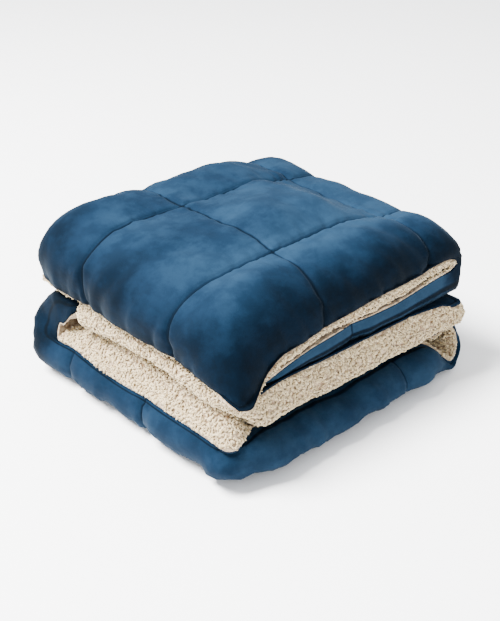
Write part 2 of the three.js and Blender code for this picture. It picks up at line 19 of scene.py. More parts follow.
import bpy
import numpy as np
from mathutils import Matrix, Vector

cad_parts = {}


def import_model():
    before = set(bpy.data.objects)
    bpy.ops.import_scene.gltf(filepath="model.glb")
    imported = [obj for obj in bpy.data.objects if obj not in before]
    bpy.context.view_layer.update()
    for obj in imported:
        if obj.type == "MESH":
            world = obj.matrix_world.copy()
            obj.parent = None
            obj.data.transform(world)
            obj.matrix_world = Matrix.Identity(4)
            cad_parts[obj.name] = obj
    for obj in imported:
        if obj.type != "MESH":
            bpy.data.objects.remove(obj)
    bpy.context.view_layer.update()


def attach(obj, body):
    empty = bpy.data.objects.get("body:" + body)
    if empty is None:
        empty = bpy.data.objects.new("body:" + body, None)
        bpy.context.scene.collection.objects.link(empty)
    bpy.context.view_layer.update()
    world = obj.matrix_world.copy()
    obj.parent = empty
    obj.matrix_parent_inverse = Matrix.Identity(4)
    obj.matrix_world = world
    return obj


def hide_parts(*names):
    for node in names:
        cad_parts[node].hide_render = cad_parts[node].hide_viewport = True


LOG = logging.getLogger("throw")

Points = np.ndarray
Number = Points | float
Span = tuple[float, float]
Rises = tuple[tuple[float, float, float], ...]

# Sizes are in millimetres unless said. The frame's origin lies under this plan point.
MM = 0.001
PLAN_CENTRE = (203.33, 187.71)

# Width of the slit between the plush and the pile along the seam's normal.
SEWN_GAP = 0.46

# Stands for a side or a line that a point has none of.
FAR = 1e3

# Least lengths to divide by, in the plan and for vectors.
LEAST_DISTANCE = 1e-6
LEAST_LENGTH = 1e-9

# Powers of the round shapes: a stuffed edge, a bulge's inner side, a quilted dome, a wall.
STUFFED_POWER = 0.82
BULGE_POWER = 0.4
DOME_POWER = 2.1
WALL_SKEW = 1.45

# Steps of a fold's half turn, and places on the flap, past the strip and on a fine ruler.
FOLD_STEPS = 16
FLAP_STATIONS = 13
OVER_BACK_STATIONS = 7
RULER_STATIONS = 2001

# Side of a table of random heights, and the shift of gathers off its lattice lines.
NOISE_CELLS = 256
GATHER_SHIFT = 7.3


class Face(Enum):
    """The three surfaces of the sheet."""

    PLUSH = "plush"
    SEAM = "seam"
    PILE = "pile"


class Layer(Enum):
    """The layers of the stack, from the top down."""

    TOP = "top"
    UPPER = "upper"
    MIDDLE = "middle"
    BASE = "base"
    FLAP = "flap"


class Side(Enum):
    """The sides of the stack."""

    LEFT = "left"
    RIGHT = "right"
    FRONT = "front"
    BACK = "back"


class Across(Enum):
    """Runs of the sheet's columns, from the top's left hem to the flap's free edge."""

    TOP = "top"
    RIGHT_FOLD = "right fold"
    UPPER = "upper"
    LEFT_FOLD = "left fold"
    MIDDLE = "middle"
    TURNED_END = "turned end"
    FLAP = "flap"


class Along(Enum):
    """Runs of the sheet's rows, from the strip's front hem round the back to the base's."""

    STRIP = "strip"
    OVER_BACK = "over the back"
    BACK_FOLD = "back fold"
    BASE = "base"


EdgeDistances = dict[Side, Points]


def mix(first: Number, second: Number, share: Number) -> Points:
    """Goes from first to second as share goes from 0 to 1."""
    return first + (second - first) * share


def smooth(value: Number) -> Points:
    """An S-shaped ramp from 0 to 1: three squares less two cubes of the clipped value."""
    t = np.clip(value, 0.0, 1.0)
    return t * t * (3.0 - 2.0 * t)


def ramp(value: Number, start: float, run: float) -> Points:
    """The S-shaped ramp of a value, 0 up to the start and 1 past the run."""
    return smooth((value - start) / run)


def climb(height: Number, value: Number, rises: Rises) -> Points:
    """The height plus, for each rise, its amount times the ramp from its start over its run."""
    for amount, start, run in rises:
        height = height + amount * ramp(value, start, run)
    return height


def hump(value: Number, reach: float) -> Points:
    """A bell of height 1: e to the minus square of value by reach."""
    return np.exp(-((value / reach) ** 2))


def stuffed_rise(share: Points) -> Points:
    """0 at a free edge and 1 past its run: a quarter sine to a power, steep as on a stuffed edge."""
    return np.sin(0.5 * math.pi * np.clip(share, 0.0, 1.0)) ** STUFFED_POWER


def wall_rise(share: Points) -> Points:
    """0 at a free edge and 1 past its run: half of one less a half turn's cosine."""
    return 0.5 - 0.5 * np.cos(math.pi * share)


def bulge(distance: Points, run: float, skew: float) -> Points:
    """Outward shift over a free edge, up to 1 and none at the edge itself.

    A half sine that fades inwards, or with a skew above 1 a half sine of the distance to
    that power, which keeps a wall upright down to what it stands on.

    Args:
        distance: Distance from the edge.
        run: Distance over which the edge is round.
        skew: Power of the share of the run, 1 for a hanging edge.

    Returns:
        The share of the bulge's depth.
    """
    q = np.clip(distance / run, 0.0, 1.0)
    if skew > 1.0:
        return np.sin(math.pi * q**skew)
    return np.sin(math.pi * q) * (1.0 - q) ** BULGE_POWER


def rounded(to_x: Points, to_y: Points, radius: Number) -> tuple[Points, Points, Points]:
    """Maps distances to two sides onto a rounded corner of the given radius.

    What each distance lacks of the radius is scaled by the root of 1 less half the square
    of the other's share, which turns the corner's square into a quarter disc.

    Args:
        to_x: Distance to the side across X.
        to_y: Distance to the side across Y.
        radius: Radius of the corner.

    Returns:
        The two scaled lengths towards the sides, and the length of both together.
    """
    p = np.clip(radius - to_x, 0.0, radius)
    q = np.clip(radius - to_y, 0.0, radius)
    scaled_p = p * np.sqrt(1.0 - 0.5 * (q / radius) ** 2)
    scaled_q = q * np.sqrt(1.0 - 0.5 * (p / radius) ** 2)
    return scaled_p, scaled_q, np.hypot(scaled_p, scaled_q)


def normalized(vectors: Points) -> Points:
    """The vectors at unit length."""
    return vectors / np.maximum(np.linalg.norm(vectors, axis=-1, keepdims=True), LEAST_LENGTH)


def in_frame(points: Points) -> Points:
    """Plan points in the frame's metres."""
    return (points - [PLAN_CENTRE[0], PLAN_CENTRE[1], 0.0]) * MM


@dataclass(frozen=True)
class Contact:
    """Height where a layer meets the one above: mid stack, at four sides, and a corner's dip."""

    mid: float
    left: float
    right: float
    front: float
    back: float
    corner_dip: float = 0.0


@dataclass(frozen=True)
class BaseContact:
    """Where base and middle meet: low along the front, high along the left, falling to the back.

    The first five are the heights, the drop and reaches shape the front corner, the rises
    run along two sides, and the spans blend one height into the next.
    """

    mid: float = 84.0
    left: float = 107.0
    right: float = 82.0
    front: float = 60.0
    back: float = 80.0
    corner_drop: float = 2.0
    corner_flat: float = 14.0
    corner_reach: float = 20.0
    front_rises: Rises = ((15.0, 300.0, 95.0),)
    left_rises: Rises = ((-14.0, 190.0, 90.0), (-12.0, 290.0, 60.0))
    to_right: Span = (200.0, 180.0)
    from_left: Span = (0.0, 130.0)
    to_back: Span = (250.0, 90.0)
    back_from_left: Span = (0.0, 60.0)
    from_front: Span = (0.0, 110.0)

    def height(self, x: Points, y: Points) -> Points:
        """Height over the plan: the front's line blended into the field behind it."""
        corner = hump(np.clip(x - self.corner_flat, 0, None), self.corner_reach)
        front = climb(mix(self.front, self.left - self.corner_drop, corner), x, self.front_rises)
        left = climb(self.left, y, self.left_rises)
        inner = mix(left, mix(self.mid, self.right, ramp(x, *self.to_right)), ramp(x, *self.from_left))
        at_back = ramp(y, *self.to_back) * ramp(x, *self.back_from_left)
        inner = mix(inner, self.back, at_back)
        return mix(front, inner, ramp(y, *self.from_front))


@dataclass(frozen=True)
class TopHem:
    """Hem of the top: lowest at the hanging corner, and higher along the front and the left."""

    corner: float = 114.0
    front_rises: Rises = ((36.0, 22.0, 68.0), (18.0, 70.0, 200.0))
    left_climb: float = 24.0
    left_reach: float = 34.0
    left_rises: Rises = ((4.0, 330.0, 60.0),)
    right_climb: float = 5.0
    right_rises: Rises = ((8.0, 250.0, 90.0),)
    right_span: Span = (330.0, 50.0)

    def height(self, x: Points, y: Points) -> Points:
        """Height over the plan: the front's and the left's, blended by x over x plus y."""
        front = climb(self.corner, x, self.front_rises)
        left = self.corner + self.left_climb * (1 - np.exp(-y / self.left_reach))
        left = climb(left, y, self.left_rises)
        at_right = climb(self.right_climb, y, self.right_rises) * ramp(x, *self.right_span)
        return mix(left, front, x / (x + y + LEAST_DISTANCE)) + at_right


@dataclass(frozen=True)
class UpperHem:
    """Hem of the upper: just under its contact, and lower at the front corner and the back."""

    drop: float = 1.5
    corner_drop: float = 8.0
    corner_reach: float = 60.0
    corner_span: Span = (0.0, 40.0)
    back_rises: Rises = ((-16.0, 250.0, 80.0),)

    def height(self, contact: Points, x: Points, y: Points) -> Points:
        """Height over the plan: the contact less the drops."""
        at_corner = self.corner_drop * hump(x, self.corner_reach) * (1 - ramp(y, *self.corner_span))
        return climb(contact - self.drop - at_corner, y, self.back_rises)


@dataclass(frozen=True)
class MiddleHem:
    """Hem of the middle: over its contact, and lower at the left, under the fold and the back."""

    lift: float = 4.5
    left_drop: float = 8.0
    left_reach: float = 55.0
    back_drop: float = 34.0
    back_span: Span = (297.0, 38.0)
    back_reach: float = 60.0
    right_drop: float = 9.5
    right_span: Span = (360.0, 30.0)

    def height(self, contact: Points, x: Points, y: Points) -> Points:
        """Height over the plan: the contact and the lift less the drops."""
        at_back = self.back_drop * ramp(y, *self.back_span) * hump(x, self.back_reach)
        at_right = self.right_drop * ramp(x, *self.right_span)
        return contact + self.lift - (self.left_drop * hump(x, self.left_reach) + at_back + at_right)


@dataclass(frozen=True)
class BaseHem:
    """Hem of the base: a wavy line that droops towards the turned end."""

    left: float = 60.0
    right: float = 17.0
    droop: Span = (344.0, 62.0)
    wave: float = 1.5
    wave_length: float = 37.0

    def height(self, x: Points, y: Points) -> Points:
        """Height over the plan: from the left's to the right's, plus the wave's sine."""
        level = mix(self.left, self.right, ramp(x, *self.droop))
        return level + self.wave * np.sin((x + y) / self.wave_length)


@dataclass(frozen=True)
class Lumps:
    """Unevenness of the puffy top, a few millimetres either way."""

    patch_height: float = 3.2
    patch_x: float = 47.0
    patch_y: float = 41.0
    phase_x: float = 0.6
    phase_y: float = 1.1
    wave_height: float = 2.2
    wave_x: float = 83.0
    wave_y: float = 59.0

    def height(self, x: Points, y: Points) -> Points:
        """The product of two sines, plus the sine of a slanting wave."""
        across = np.sin(x / self.patch_x + self.phase_x)
        patches = self.patch_height * across * np.sin(y / self.patch_y + self.phase_y)
        return patches + self.wave_height * np.sin(x / self.wave_x - y / self.wave_y)


@dataclass(frozen=True)
class Rounding:
    """How the surfaces of a layer round off towards a free edge.

    A run is the distance over which a surface is round, and a bulge how far it stands out.
    Then come the radius of the front corners, how far the front hem is set in, and factors
    of the bulge: on the left side, and at the tucked front.
    """

    plush_run: float
    plush_bulge: float
    pile_run: float
    pile_bulge: float
    seam_run: float
    corner: float
    inset: float
    plush_left: float = 1.0
    pile_left: float = 1.0
    plush_front: float = 1.0

    def run(self, face: Face) -> float:
        """Distance from the edge over which a surface is round."""
        return {Face.PLUSH: self.plush_run, Face.SEAM: self.seam_run, Face.PILE: self.pile_run}[face]

    def out(self, face: Face) -> float:
        """How far a surface stands out over the edge."""
        return {Face.PLUSH: self.plush_bulge, Face.SEAM: 0.0, Face.PILE: self.pile_bulge}[face]

    def left(self, face: Face) -> float:
        """Factor of a surface's bulge on the left side."""
        return {Face.PLUSH: self.plush_left, Face.SEAM: 1.0, Face.PILE: self.pile_left}[face]


@dataclass(frozen=True)
class Quilting:
    """Seams of a layer as distances along X and Y, with the depth and half width of a channel."""

    along_x: tuple[float, ...] = ()
    along_y: tuple[float, ...] = ()
    depth: float = 0.0
    width: float = 60.0

    def channel(self, position: Points, seams: tuple[float, ...]) -> Points:
        """Share of a channel's depth by distance to the nearest seam: domes meet in a valley."""
        deepest = np.zeros_like(position)
        for seam in seams:
            away = np.abs(position - seam)
            dome = (1.0 - np.clip(away / self.width, 0.0, 1.0)) ** DOME_POWER
            deepest = np.maximum(deepest, dome)
        return deepest

    def drop(self, x: Points, y: Points) -> Points:
        """Depth of the channels both ways: their shares' sum less their product."""
        first, second = self.channel(x, self.along_x), self.channel(y, self.along_y)
        return self.depth * (first + second - first * second)


@dataclass(frozen=True)
class FoldShape:
    """Half widths of a fold for its surfaces and at a hem, the run between, and its box.

    The box is the power of the plush's lower half, below 1 for a wall that stands upright.
    """

    seam: float
    plush: float
    pile: float
    hem: float
    run: float
    boxed: float = 1.0

    def width(self, face: Face, edge: Points, hem_half: float) -> Points:
        """Half width of the fold at a distance from the sheet's free edge.

        Args:
            face: Which of the three surfaces.
            edge: Distance to the free edge.
            hem_half: Half thickness of the hem.

        Returns:
            The half width, from the hem's to the full one by the stuffed rise.
        """
        side = 1.0 if self.plush > self.seam else -1.0
        at_hem = {
            Face.PLUSH: self.hem + side * hem_half,
            Face.SEAM: self.hem,
            Face.PILE: self.hem - side * hem_half,
        }[face]
        full = {Face.PLUSH: self.plush, Face.SEAM: self.seam, Face.PILE: self.pile}[face]
        return mix(at_hem, full, stuffed_rise(edge / self.run))

    def box(self, face: Face) -> float:
        """Power of the lower half's cosine for a surface."""
        return self.boxed if face is Face.PLUSH else 1.0


@dataclass(frozen=True)
class Spacing:
    """Steps of a grid, close near hems and seams and wide between them."""

    close: float
    wide: float
    close_reach: float = 14.0
    reach: float = 30.0


TOP_SPACING = Spacing(2.6, 4.2)
INNER_SPACING = Spacing(4.2, 6.5)
BASE_SPACING = Spacing(3.2, 5.0)


@dataclass
class StackPlan:
    """Sizes of the stack, and the heights of its surfaces over the plan."""

    # Extents of the top, and where the folds and the layers' free edges lie. The inner
    # layers end short of the top's back edge, the upper by less from the span on.
    width: float = 424.0
    depth: float = 388.0
    right_fold_x: float = 378.0
    left_fold_x: float = 25.0
    back_fold_y: float = 337.0
    middle_right_x: float = 408.0
    base_left_x: float = -8.0
    base_turn_x: float = 398.0
    flap_length: float = 40.0
    inner_back_y: float = 300.0
    upper_back_y: float = 345.0
    upper_back_span: Span = (60.0, 140.0)
    back_ease_from: float = 250.0
    # Thicknesses: pile, gap between layers, thinnest upper and its share of pile, and hems.
    pile: float = 9.0
    gap: float = 4.4
    thinnest_layer: float = 12.0
    squeezed_share: float = 0.6
    hem_half: float = 2.4
    welt: float = 7.0
    # How far and strongly a side's contact height reaches in, and the front corner's dip.
    side_reach: float = 150.0
    side_strength: float = 4.0
    corner_reach: float = 105.0
    corner_power: float = 1.6
    # Corners: how far the base's stands out in front and the top's at the back, over what
    # shares of the run, and how blunt the middle's right edge is.
    back_corner_radius: float = 24.0
    base_push: tuple[float, float] = (19.0, 7.0)
    top_push: float = 4.0
    push_width: float = 0.4
    push_length: float = 2.0
    push_start: float = 12.0
    blunt_end: float = 1.5
    # How far seams draw the free edges in, over what run, and what share for the right fold.
    pinch: float = 4.5
    pinch_run: float = 60.0
    fold_pinch: float = 0.5
    # The top's hanging corner is flat, and hangs forward and to the left as a tongue.
    bulge_start: float = 60.0
    flat_tip: float = 0.35
    tip_reach: float = 62.0
    tongue_reach: float = 21.0
    tongue_left: float = 4.0
    tongue_start: float = 10.0
    tongue_width: float = 52.0
    tongue_depth: float = 90.0
    # The base's front hem is tucked under between its ends, and the middle's leans out.
    inset_reach: float = 110.0
    tuck_left: Span = (0.0, 60.0)
    tuck_right: Span = (325.0, 60.0)
    tuck_reach: float = 22.0
    tuck_depth: float = 90.0
    lean_right: Rises = ((10.0, 300.0, 90.0),)
    lean_left: float = 8.0
    lean_left_reach: float = 50.0
    lean_depth: float = 80.0
    # The middle's left edge past the strip: inside the base's, reached over a run.
    left_edge_inset: float = 7.0
    left_edge_run: float = 16.0
    left_edge_least: float = 0.35
    # A hem hangs where it lies under its layer. Then the openings inside the folds.
    hanging_span: Span = (-4.0, 8.0)
    right_opening: Rises = ((2.0, 330.0, 50.0),)
    back_opening: Rises = ((7.0, 250.0, 90.0),)
    turn_pile_height: float = 28.0
    turn_pile_span: Span = (300.0, 76.0)
    flap_thickness: float = 6.0
    flap_pile_share: float = 0.6
    flap_hem_drop: float = 6.0
    top_hem: TopHem = TopHem()
    upper_hem: UpperHem = UpperHem()
    middle_hem: MiddleHem = MiddleHem()
    base_hem: BaseHem = BaseHem()
    lumps: Lumps = Lumps()
    base_contact: BaseContact = BaseContact()
    contacts: dict[Layer, Contact] = field(
        default_factory=lambda: {
            Layer.MIDDLE: Contact(mid=120, left=122, right=112, front=112, back=128),
            Layer.UPPER: Contact(mid=164, left=132, right=172, front=142, back=158, corner_dip=20),
            Layer.TOP: Contact(mid=247, left=236, right=213, front=229, back=244, corner_dip=6),
        }
    )
    quilting: dict[Layer, Quilting] = field(
        default_factory=lambda: {
            Layer.TOP: Quilting((154.0, 350.0), (94.0, 265.0), 9.0, 80.0),
            Layer.UPPER: Quilting((205.0,), (), 6.0),
            Layer.MIDDLE: Quilting(),
            Layer.BASE: Quilting((136.0, 288.0), (151.0, 303.0), 9.0, 76.0),
        }
    )
    rounding: dict[Layer, Rounding] = field(
        default_factory=lambda: {
            Layer.TOP: Rounding(66, 27, 16, 5, 16, 30, 0, plush_left=1.9, pile_left=0.0),
            Layer.UPPER: Rounding(13, 11, 14, 1, 14, 20, 1),
            Layer.MIDDLE: Rounding(14, 1, 34, 26, 40, 12, -3, pile_left=0.0),
            Layer.BASE: Rounding(36, 27, 34, 0, 36, 12, -8, plush_left=1.2, plush_front=2.35),
            Layer.FLAP: Rounding(24, 3, 24, 2, 24, 10, 1),
        }
    )
    right_fold: FoldShape = FoldShape(seam=20, plush=50, pile=10, hem=24, run=28, boxed=0.3)
    left_fold: FoldShape = FoldShape(seam=15, plush=4, pile=28, hem=9, run=46)
    back_fold: FoldShape = FoldShape(seam=28, plush=69, pile=14, hem=5, run=34, boxed=0.4)
    back_fold_right_hem: float = 28.0
    turned_end: FoldShape = FoldShape(seam=16, plush=27, pile=8, hem=16, run=30)

    @property
    def middle_width(self) -> float:
        """Extent of the middle along X."""
        return self.middle_right_x - self.left_fold_x

    @property
    def base_width(self) -> float:
        """Extent of the base along X."""
        return self.base_turn_x - self.base_left_x

    def contact(self, layer: Layer, x: Points, y: Points) -> Points:
        """Height where a layer meets the one above it, or of the top's upper side.

        Args:
            layer: The layer under the contact.
            x: Plan X of each point.
            y: Plan Y of each point.

        Returns:
            The mean of the mid height and the four sides' heights, weighted by nearness,
            less the corner's dip.
        """
        if layer is Layer.BASE:
            return self.base_contact.height(x, y)
        row = self.contacts[layer]
        total = 1.0
        height = row.mid
        sides = (
            (row.left, x),
            (row.right, self.width - x),
            (row.front, y),
            (row.back, self.depth - y),
        )
        for side_height, distance in sides:
            weight = self.side_strength * (1.0 - smooth(distance / self.side_reach))
            height = height + side_height * weight
            total = total + weight
        corner = np.exp(-((np.hypot(x, y) / self.corner_reach) ** self.corner_power))
        height = height / total - row.corner_dip * corner
        if layer is Layer.UPPER:
            return np.maximum(height, self.contact(Layer.MIDDLE, x, y) + self.thinnest_layer)
        return height

    def hem(self, layer: Layer, x: Points, y: Points) -> Points:
        """Height of the hem of a layer over the plan."""
        if layer is Layer.TOP:
            return self.top_hem.height(x, y)
        if layer is Layer.UPPER:
            return self.upper_hem.height(self.contact(Layer.UPPER, x, y), x, y)
        if layer is Layer.MIDDLE:
            return self.middle_hem.height(self.contact(Layer.MIDDLE, x, y), x, y)
        if layer is Layer.FLAP:
            return self.contact(Layer.BASE, x, y) - self.flap_hem_drop
        return self.base_hem.height(x, y)

    def level(self, layer: Layer, face: Face, x: Points, y: Points) -> Points:
        """Height of one surface of a layer away from its edges.

        Args:
            layer: Which layer of the stack.
            face: Which of its three surfaces.
            x: Plan X of each point.
            y: Plan Y of each point.

        Returns:
            The contact above or below the layer, half a gap off, with the pile's
            thickness between the pile and the seam.
        """
        levels = {
            Layer.TOP: self.top_level,
            Layer.UPPER: self.upper_level,
            Layer.MIDDLE: self.middle_level,
            Layer.BASE: self.base_level,
            Layer.FLAP: self.flap_level,
        }
        return levels[layer](face, x, y)

    def top_level(self, face: Face, x: Points, y: Points) -> Points:
        """The top: lumpy and quilted above, with the pile half a gap over the upper."""
        if face is Face.PLUSH:
            drop = self.quilting[Layer.TOP].drop(x, y)
            return self.contact(Layer.TOP, x, y) + self.lumps.height(x, y) - drop
        opening = climb(0.0, x, self.right_opening)
        pile = self.contact(Layer.UPPER, x, y) + self.gap / 2 + opening
        return pile + (self.pile if face is Face.SEAM else 0.0)

    def upper_level(self, face: Face, x: Points, y: Points) -> Points:
        """The upper: pile half a gap under the top, and plush half a gap over the middle."""
        plush = self.contact(Layer.MIDDLE, x, y) + self.gap / 2
        if face is Face.PLUSH:
            return plush
        opening = climb(0.0, x, self.right_opening)
        pile = self.contact(Layer.UPPER, x, y) - self.gap / 2 - opening
        squeezed = self.pile_thickness(pile - self.contact(Layer.MIDDLE, x, y) - self.gap / 2)
        return pile - (squeezed if face is Face.SEAM else 0.0)

    def middle_level(self, face: Face, x: Points, y: Points) -> Points:
        """The middle: plush half a gap under the upper, and pile half a gap over the base."""
        plush = self.contact(Layer.MIDDLE, x, y) - self.gap / 2
        if face is Face.PLUSH:
            return plush
        pile = self.contact(Layer.BASE, x, y) + self.gap / 2 + climb(0.0, y, self.back_opening)
        return pile + (self.pile_thickness(plush - pile) if face is Face.SEAM else 0.0)

    def base_level(self, face: Face, x: Points, y: Points) -> Points:
        """The base: plush on the surface, and pile half a gap under the middle."""
        if face is Face.PLUSH:
            return np.zeros_like(x + y)
        pile = self.contact(Layer.BASE, x, y) - self.gap / 2 - climb(0.0, y, self.back_opening)
        pile = mix(pile, self.turn_pile_height, ramp(x, *self.turn_pile_span))
        return pile - (self.pile if face is Face.SEAM else 0.0)

    def flap_level(self, face: Face, x: Points, y: Points) -> Points:
        """The flap: plush half a gap under the middle, and the pile under it."""
        thickness = self.flap_thickness + self.pile * self.flap_pile_share
        below = {Face.PLUSH: 0.0, Face.SEAM: self.flap_thickness, Face.PILE: thickness}[face]
        return self.contact(Layer.BASE, x, y) - self.gap / 2 - below

    def pile_thickness(self, layer_thickness: Points) -> Points:
        """Thickness of the pile, less where the whole layer is squeezed."""
        return np.minimum(self.pile, self.squeezed_share * layer_thickness)

    def welt_of(self, layer: Layer, face: Face, hanging: Points) -> Points:
        """Width of the flat strip along the hem.

        The top's pile has it only where the hem hangs below the pile's own level.
        """
        lipped = layer in (Layer.TOP, Layer.FLAP) or (layer is Layer.BASE and face is Face.PLUSH)
        if not lipped:
            return 0.0 * hanging
        if layer is Layer.TOP and face is Face.PILE:
            return self.welt * hanging
        return self.welt + 0.0 * hanging

    def hem_offset(self, layer: Layer, face: Face) -> float:
        """Height of a surface over the hem's middle: the plush and the pile stand a little apart."""
        up = 1.0 if layer in (Layer.TOP, Layer.MIDDLE, Layer.FLAP) else -1.0
        return up * {Face.PLUSH: self.hem_half, Face.SEAM: 0.0, Face.PILE: -self.hem_half}[face]

    def tuck(self, x: Points) -> Points:
        """1 where the base's front hem is tucked under the middle, 0 at its two ends."""
        return ramp(x, *self.tuck_left) * (1 - ramp(x, *self.tuck_right))


@dataclass(frozen=True)
class NearestSides:
    """Distances of points to the nearer free side along X and Y, and that side's sign."""

    to_x: Points
    to_y: Points
    sign_x: Points
    sign_y: Points


@dataclass(frozen=True)
class EdgeShape:
    """One surface near its edges: how far it is round and bulges, its welt, and if it is a wall."""

    layer: Layer
    face: Face
    run: float
    out: Points
    welt: Points
    upright: bool


@dataclass
class FoldedSheet:
    """The surfaces of the folded sheet on a grid of rows and columns.

    Columns run along the sheet through top, right fold, upper, left fold, middle (with
    the base under it), turned end and flap. Rows run from the front to the back of the
    strip, round the back fold, and forward under it.
    """

    plan: StackPlan = field(default_factory=StackPlan)

    def layer_points(
        self, layer: Layer, face: Face, x: Points, y: Points, edges: EdgeDistances
    ) -> Points:
        """Points of one surface of a layer.

        Args:
            layer: Which layer of the stack.
            face: Which of its three surfaces.
            x: Plan X of each point.
            y: Plan Y of each point.
            edges: Distances to its free edges.

        Returns:
            An array of points. Away from the edges each lies at the layer's level, and
            near a free edge it goes to the hem's height by the rise and out by the bulge.
        """
        plan = self.plan
        x, y = np.broadcast_arrays(x, y)
        hem = plan.hem(layer, x, y) + plan.hem_offset(layer, face)
        level = plan.level(layer, face, x, y)
        hanging = ramp(level - hem, *plan.hanging_span)
        shape = EdgeShape(
            layer,
            face,
            plan.rounding[layer].run(face),
            self.outwards(layer, face, x, y, hanging),
            plan.welt_of(layer, face, hanging),
            layer in (Layer.BASE, Layer.UPPER) and face is Face.PLUSH,
        )
        inside = np.ones_like(x, dtype=float)
        for distance in edges.values():
            share = np.clip((distance - shape.welt) / (shape.run - shape.welt), 0.0, 1.0)
            inside = inside * (wall_rise(share) if shape.upright else stuffed_rise(share))
        z = mix(hem, level, inside)

        sides = self.nearest_sides(x, edges)
        swell_x, swell_y, norm = self.swell(shape, x, sides)
        moved_x, moved_y = self.rounded_off(layer, sides)
        drawn_x, drawn_y = self.pinched(layer, x, y, sides)
        push_x, push_y = self.corner_push(shape, sides, norm)
        new_x = x + sides.sign_x * (swell_x - moved_x - drawn_x + push_x)
        new_y = y + sides.sign_y * (swell_y - moved_y - drawn_y + push_y)
        return np.stack([new_x, new_y, z], axis=-1)

    def outwards(self, layer: Layer, face: Face, x: Points, y: Points, hanging: Points) -> Points:
        """How far a surface stands out over its edge: less at the left fold and on the tip."""
        plan = self.plan
        out = plan.rounding[layer].out(face)
        if layer is Layer.UPPER:
            out = out * ramp(x, plan.left_fold_x, plan.bulge_start)
        if layer is Layer.TOP and face is Face.PILE:
            out = out * (1 - hanging)
        if layer is Layer.TOP and face is Face.PLUSH:
            out = out * (1 - plan.flat_tip * np.exp(-(x**2 + y**2) / plan.tip_reach**2))
        return out

    def nearest_sides(self, x: Points, edges: EdgeDistances) -> NearestSides:
        """The nearer free side of each point both ways, far off where none is free."""
        away = 2.0 * self.plan.width + 0.0 * x
        left, right, front, back = (edges.get(side, away) for side in Side)
        return NearestSides(
            np.minimum(left, right),
            np.minimum(front, back),
            np.where(left <= right, -1.0, 1.0),
            np.where(front <= back, -1.0, 1.0),
        )

    def swell(
        self, shape: EdgeShape, x: Points, sides: NearestSides
    ) -> tuple[Points, Points, Points]:
        """How far a surface bulges over its edges.

        Args:
            shape: What the surface needs near its edges.
            x: Plan X of each point.
            sides: The nearer free sides.

        Returns:
            The bulge towards each side, by the rounded corner's two lengths, and their
            length together.
        """
        row = self.plan.rounding[shape.layer]
        out_x, out_y, norm = rounded(sides.to_x, sides.to_y, shape.run)
        skew = WALL_SKEW if shape.upright else 1.0
        share = bulge(shape.run - norm, shape.run, skew)
        swell = shape.out * share / np.maximum(norm, LEAST_DISTANCE)
        wider = np.where(sides.sign_x < 0, row.left(shape.face), 1.0)
        deeper = 1.0
        if shape.face is Face.PLUSH:
            deeper = 1.0 + (row.plush_front - 1.0) * self.plan.tuck(x)
        return swell * wider * out_x, swell * deeper * out_y, norm

    def rounded_off(self, layer: Layer, sides: NearestSides) -> tuple[Points, Points]:
        """How far the rounding of a layer's corners moves its points in, both ways."""
        plan = self.plan
        radius = np.where(sides.sign_y < 0, plan.rounding[layer].corner, plan.back_corner_radius)
        round_x, round_y, _ = rounded(sides.to_x, sides.to_y, radius)
        moved_x = np.clip(radius - sides.to_x, 0.0, radius) - round_x
        moved_y = np.clip(radius - sides.to_y, 0.0, radius) - round_y
        return moved_x, moved_y

    def pinched(
        self, layer: Layer, x: Points, y: Points, sides: NearestSides
    ) -> tuple[Points, Points]:
        """How far the seams draw the free edges in, by their channels' shares near the edges.

        The flap follows the base's seams.
        """
        plan = self.plan
        seams = plan.quilting[Layer.BASE if layer is Layer.FLAP else layer]
        from_x = smooth(sides.to_x / plan.pinch_run)
        from_y = smooth(sides.to_y / plan.pinch_run)
        drawn_x = plan.pinch * seams.channel(y, seams.along_y) * ((1 - from_x) * from_y)
        drawn_y = plan.pinch * seams.channel(x, seams.along_x) * ((1 - from_y) * from_x)
        return drawn_x, drawn_y

    def corner_push(
        self, shape: EdgeShape, sides: NearestSides, norm: Points
    ) -> tuple[Points, Points]:
        """How far a stuffed corner stands out: the base's in front and the top's at the back.

        Args:
            shape: What the surface needs near its edges.
            sides: The nearer free sides.
            norm: Length of the rounded corner's two lengths together.

        Returns:
            The push both ways: its full amount times a bell across the corner's diagonal.
        """
        plan = self.plan
        push_x, push_y = 0.0, 0.0
        if shape.layer is Layer.BASE and shape.face is Face.PLUSH:
            push_x, push_y = plan.base_push
        if shape.layer is Layer.TOP and shape.face is Face.PLUSH:
            push_x = np.where(sides.sign_y > 0, plan.top_push, 0.0)
            push_y = push_x
        across = (sides.to_x - sides.to_y) / (plan.push_width * shape.run)
        along = (sides.to_x + sides.to_y) / (plan.push_length * shape.run)
        at_corner = np.exp(-(across**2) - along**2)
        at_corner = at_corner * smooth((shape.run - norm - shape.welt) / plan.push_start)
        return push_x * at_corner, push_y * at_corner

    def row_y(self, layer: Layer, y: Points) -> Points:
        """Plan Y of a layer's row, with its front hem set in by its own amount."""
        return y + self.plan.rounding[layer].inset * (1 - smooth(y / self.plan.inset_reach))

    def inner_y(self, y: Points, back_y: Number) -> Points:
        """Plan Y of the inner layers, which end short of the top's back edge, at the back Y given."""
        plan = self.plan
        share = (y - plan.back_ease_from) / (plan.depth - plan.back_ease_from)
        return np.where(y <= plan.back_ease_from, y, mix(plan.back_ease_from, back_y, share))

